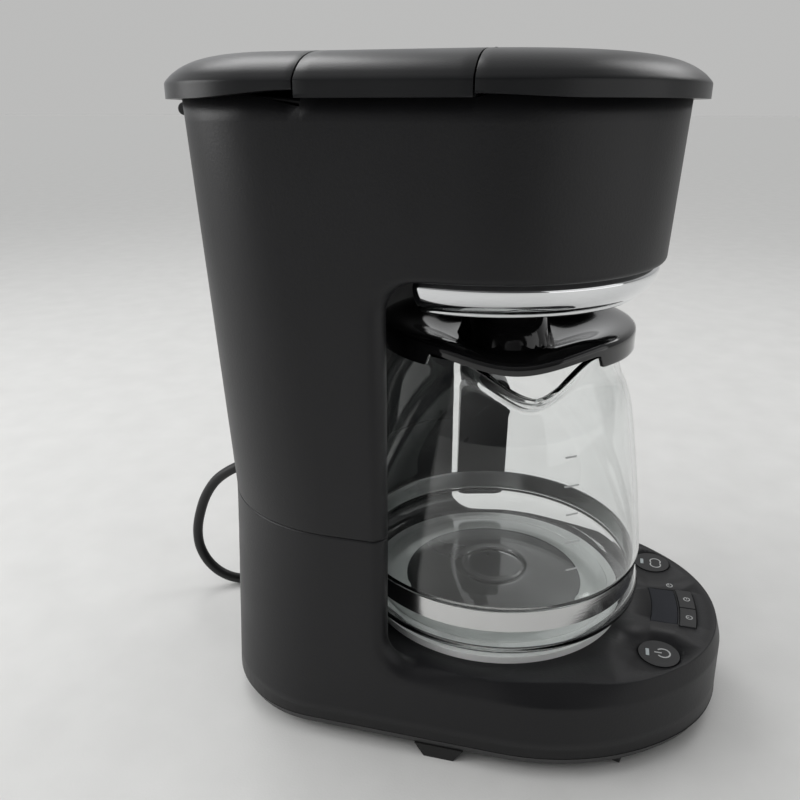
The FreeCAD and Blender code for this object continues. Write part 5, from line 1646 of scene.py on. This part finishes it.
@dataclass
class MainsCord:
    """Mains cord from the strain relief, in an arc to the table and on to a tied coil."""

    radius: float = 3.0
    exit: Spot = (21.0, 118.625, 89.0)
    route: tuple[Spot, ...] = (
        (21.3, 133.3, 81.4), (21.5, 145.2, 66.5), (21.7, 151.8, 49.5), (21.9, 154.4, 37.0),
        (22.0, 153.6, 26.0), (22.5, 148.4, 15.2), (24.3, 139.7, 7.2), (28.2, 129.1, 3.0),
        (34.2, 118.7, 3.0), (43.7, 111.3, 3.0), (55.2, 108.0, 3.0), (67.6, 109.3, 3.0),
        (79.5, 114.6, 3.0), (89.7, 122.6, 3.0), (100.0, 131.3, 3.0),
    )
    coil: Point = (132.0, 108.0)
    entry: float = 125.0
    turns: float = 2.0
    steps_per_turn: int = 16
    lead_out: int = 18
    outer_r: float = 38.6
    inner_r: float = 32.6
    upper_r: float = 35.6
    entry_z: float = 3.2
    low_z: float = 4.2
    upper_z: float = 9.6
    tail: tuple[Spot, ...] = ((141.3, 142.8, 9.3), (155.8, 138.9, 8.2), (170.3, 135.0, 7.5))

    def line(self) -> list[Spot]:
        """Gives the cord's control points from end to end."""
        points = [self.exit, *self.route]
        count = int(self.turns * self.steps_per_turn)
        for index in range(count + self.lead_out):
            done = index / self.steps_per_turn
            angle = math.radians(self.entry - 360.0 * done)
            inner = ease((done - 0.9) / 0.25)
            upper = ease((done - 1.8) / 0.3)
            radius = lerp(lerp(self.outer_r, self.inner_r, inner), self.upper_r, upper)
            z = lerp(self.low_z, self.upper_z, upper) if index else self.entry_z
            x, y = self.coil[0] + radius * math.cos(angle), self.coil[1] + radius * math.sin(angle)
            points.append((x, y, z))
        return points + list(self.tail)

    def build(self) -> bpy.types.Object:
        """Builds the cord as one smooth curve.

        Returns:
            The cord.
        """
        points = self.line()
        data = bpy.data.curves.new("mains_cord", "CURVE")
        data.dimensions = "3D"
        data.bevel_depth = self.radius * MM
        data.bevel_resolution = 6
        data.resolution_u = 8
        data.use_fill_caps = True
        spline = data.splines.new("NURBS")
        spline.points.add(len(points) - 1)
        for place, control in zip(points, spline.points):
            control.co = (*LAYOUT.spot(*place), 1.0)
        spline.order_u = 3
        spline.use_endpoint_u = True
        piece = bpy.data.objects.new("mains_cord", data)
        bpy.context.scene.collection.objects.link(piece)
        piece.data.materials.append(CORD.material())
        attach(piece, "machine")
        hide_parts("power_cord", "cord_coil")
        return piece

    def declare(self, piece: bpy.types.Object) -> None:
        """Works out where the cord leaves the machine in the frame, and keeps nothing.

        Args:
            piece: The cord. It is not used.
        """
        LAYOUT.spot(*self.exit)


@dataclass
class Studio:
    """Pale floor, soft light and the camera at the photograph's view."""

    eye: Spot = (-352.376, -73.532, 284.932)
    heading: float = 14.58
    pitch: float = 20.812
    focal_px: float = 769.9
    image_px: float = 800.0

    def floor(self) -> None:
        """Lays the floor."""
        mesh = bpy.data.meshes.new("studio_floor")
        mesh.from_pydata([(-30, -30, 0), (30, -30, 0), (30, 30, 0), (-30, 30, 0)], [], [(0, 1, 2, 3)])
        piece = bpy.data.objects.new("studio_floor", mesh)
        bpy.context.scene.collection.objects.link(piece)
        paper = Finish("pale_floor", (0.62, 0.62, 0.61), (0.66, 0.66, 0.65), (0.7, 0.85), grain_depth=0.2)
        piece.data.materials.append(paper.material())

    def lamp(self, name: str, place: Spot, target: Spot, size: float, power: float) -> None:
        """Hangs one soft lamp.

        Args:
            name: The lamp's name.
            place: Where it hangs, in metres.
            target: What it points at, in metres.
            size: Its side, in metres.
            power: Its power in watts.
        """
        light = bpy.data.lights.new(name, "AREA")
        light.shape = "SQUARE"
        light.size = size
        light.energy = power
        piece = bpy.data.objects.new(name, light)
        bpy.context.scene.collection.objects.link(piece)
        piece.location = place
        piece.rotation_euler = (Vector(target) - Vector(place)).to_track_quat("-Z", "Y").to_euler()

    def daylight(self) -> None:
        """Adds an even soft light from above."""
        light = bpy.data.lights.new("ceiling_glow", "SUN")
        light.energy = 1.3
        light.angle = math.radians(80.0)
        piece = bpy.data.objects.new("ceiling_glow", light)
        bpy.context.scene.collection.objects.link(piece)
        piece.rotation_euler = (math.radians(-14.0), math.radians(-12.0), 0.0)
        piece.visible_glossy = False

    def sky(self) -> None:
        """Sets a surround that is paler to the far right, and looks plain to the camera."""
        world = bpy.data.worlds.new("pale_room")
        bpy.context.scene.world = world
        world.use_nodes = True
        tree = world.node_tree
        shade = tree.nodes["Background"]
        place = tree.nodes.new("ShaderNodeTexCoord")
        along = tree.nodes.new("ShaderNodeVectorMath")
        along.operation = "DOT_PRODUCT"
        along.inputs[1].default_value = (0.72, 0.69, 0.0)
        tree.links.new(place.outputs["Generated"], along.inputs[0])
        ramp = tree.nodes.new("ShaderNodeValToRGB")
        ramp.color_ramp.elements[0].position = 0.0
        ramp.color_ramp.elements[0].color = (0.05, 0.05, 0.052, 1.0)
        ramp.color_ramp.elements[1].position = 0.775
        ramp.color_ramp.elements[1].color = (0.52, 0.52, 0.52, 1.0)
        ramp.color_ramp.elements.new(1.0).color = (0.74, 0.75, 0.76, 1.0)
        span = tree.nodes.new("ShaderNodeMapRange")
        span.inputs["From Min"].default_value = -1.0
        tree.links.new(along.outputs["Value"], span.inputs["Value"])
        tree.links.new(span.outputs["Result"], ramp.inputs["Fac"])
        tree.links.new(ramp.outputs["Color"], shade.inputs["Color"])
        plain = tree.nodes.new("ShaderNodeBackground")
        plain.inputs["Color"].default_value = (0.5, 0.5, 0.495, 1.0)
        path = tree.nodes.new("ShaderNodeLightPath")
        mix = tree.nodes.new("ShaderNodeMixShader")
        tree.links.new(path.outputs["Is Camera Ray"], mix.inputs[0])
        tree.links.new(shade.outputs["Background"], mix.inputs[1])
        tree.links.new(plain.outputs["Background"], mix.inputs[2])
        tree.links.new(mix.outputs["Shader"], tree.nodes["World Output"].inputs["Surface"])

    def camera(self) -> None:
        """Sets the camera where the photograph was taken."""
        data = bpy.data.cameras.new("view")
        data.sensor_width = 36.0
        data.lens = self.focal_px * 36.0 / self.image_px
        data.clip_start = 0.01
        piece = bpy.data.objects.new("view", data)
        bpy.context.scene.collection.objects.link(piece)
        piece.location = LAYOUT.spot(*self.eye)
        turn, dip = math.radians(self.heading), math.radians(self.pitch)
        ahead = Vector((math.cos(dip) * math.cos(turn), math.cos(dip) * math.sin(turn), -math.sin(dip)))
        piece.rotation_euler = ahead.to_track_quat("-Z", "Y").to_euler()
        bpy.context.scene.camera = piece

    def build(self) -> None:
        """Sets up the whole studio."""
        bpy.context.scene.view_settings.view_transform = "Standard"
        self.floor()
        self.sky()
        self.daylight()
        self.lamp("top_panel", (0.62, 0.6, 1.2), (0.0, 0.08, 0.2), 0.5, 3.0)
        self.lamp("back_left_panel", (-0.35, 1.0, 0.55), (-0.05, 0.05, 0.15), 0.7, 5.0)
        self.lamp("right_panel", (0.75, -0.5, 0.95), (0.0, -0.05, 0.2), 0.4, 1.4)
        self.lamp("front_panel", (-0.35, -1.15, 0.3), (0.0, 0.0, 0.1), 1.3, 3.6)
        self.camera()


NODE_FINISHES: dict[str, Finish] = {
    "base_plate": INNER, "feet": RUBBER, "base_screws": ZINC, "plate_seal": SEAL,
    "heater_tube": CAST, "heating_element": ZINC, "heater_clamp": ZINC, "clamp_nut": ZINC,
    "thermostat": CERAMIC, "thermal_fuse": CERAMIC, "water_tank": TANK, "check_valve": INNER,
    "check_ball": SILICONE,
    "cold_water_hose": SILICONE, "hot_water_tube": SILICONE, "hose_clamps": ZINC, "spray_head": INNER,
    "top_deck": INNER, "brew_chamber": INNER, "filter_basket": INNER, "mesh_filter": MESH,
    "drip_stop_valve": INNER, "drip_stop_spring": ZINC, "drip_stop_seal": SILICONE, "rear_hinge_pin": ZINC,
    "front_hinge_pin": ZINC, "control_board": BOARD, "tact_switches": INNER, "lcd_module": INNER,
    "power_button": DECK_KEY, "strength_button": DECK_KEY, "power_light": LAMP, "strength_light": LAMP,
    "strain_relief": CORD, "cord_tie": CORD, "power_plug": CORD, "plug_pins": BRASS, "carafe_band": STEEL,
    "band_screw": ZINC,
}


def main() -> None:
    """Builds every sub-assembly in order."""
    logging.basicConfig(level=logging.INFO)
    Studio().build()
    dress(NODE_FINISHES)
    cord = MainsCord()
    cord.declare(cord.build())
    panel = Panel()
    housing = Housing()
    housing.upper()
    plate_ring = housing.circle(housing.plate_hole, housing.deck_z)
    housing.lower([plate_ring] + panel.holes())
    panel.build()
    WarmPlate().build()
    ChromeRing().build()
    lids = Lids()
    lids.bridge()
    lids.front()
    lids.rear()
    lids.rear_hinge()
    lids.front_hinge()
    carafe = Carafe()
    carafe.glass()
    carafe.level_marks()
    carafe.lid()
    carafe.handle()


if __name__ == "__main__":
    main()
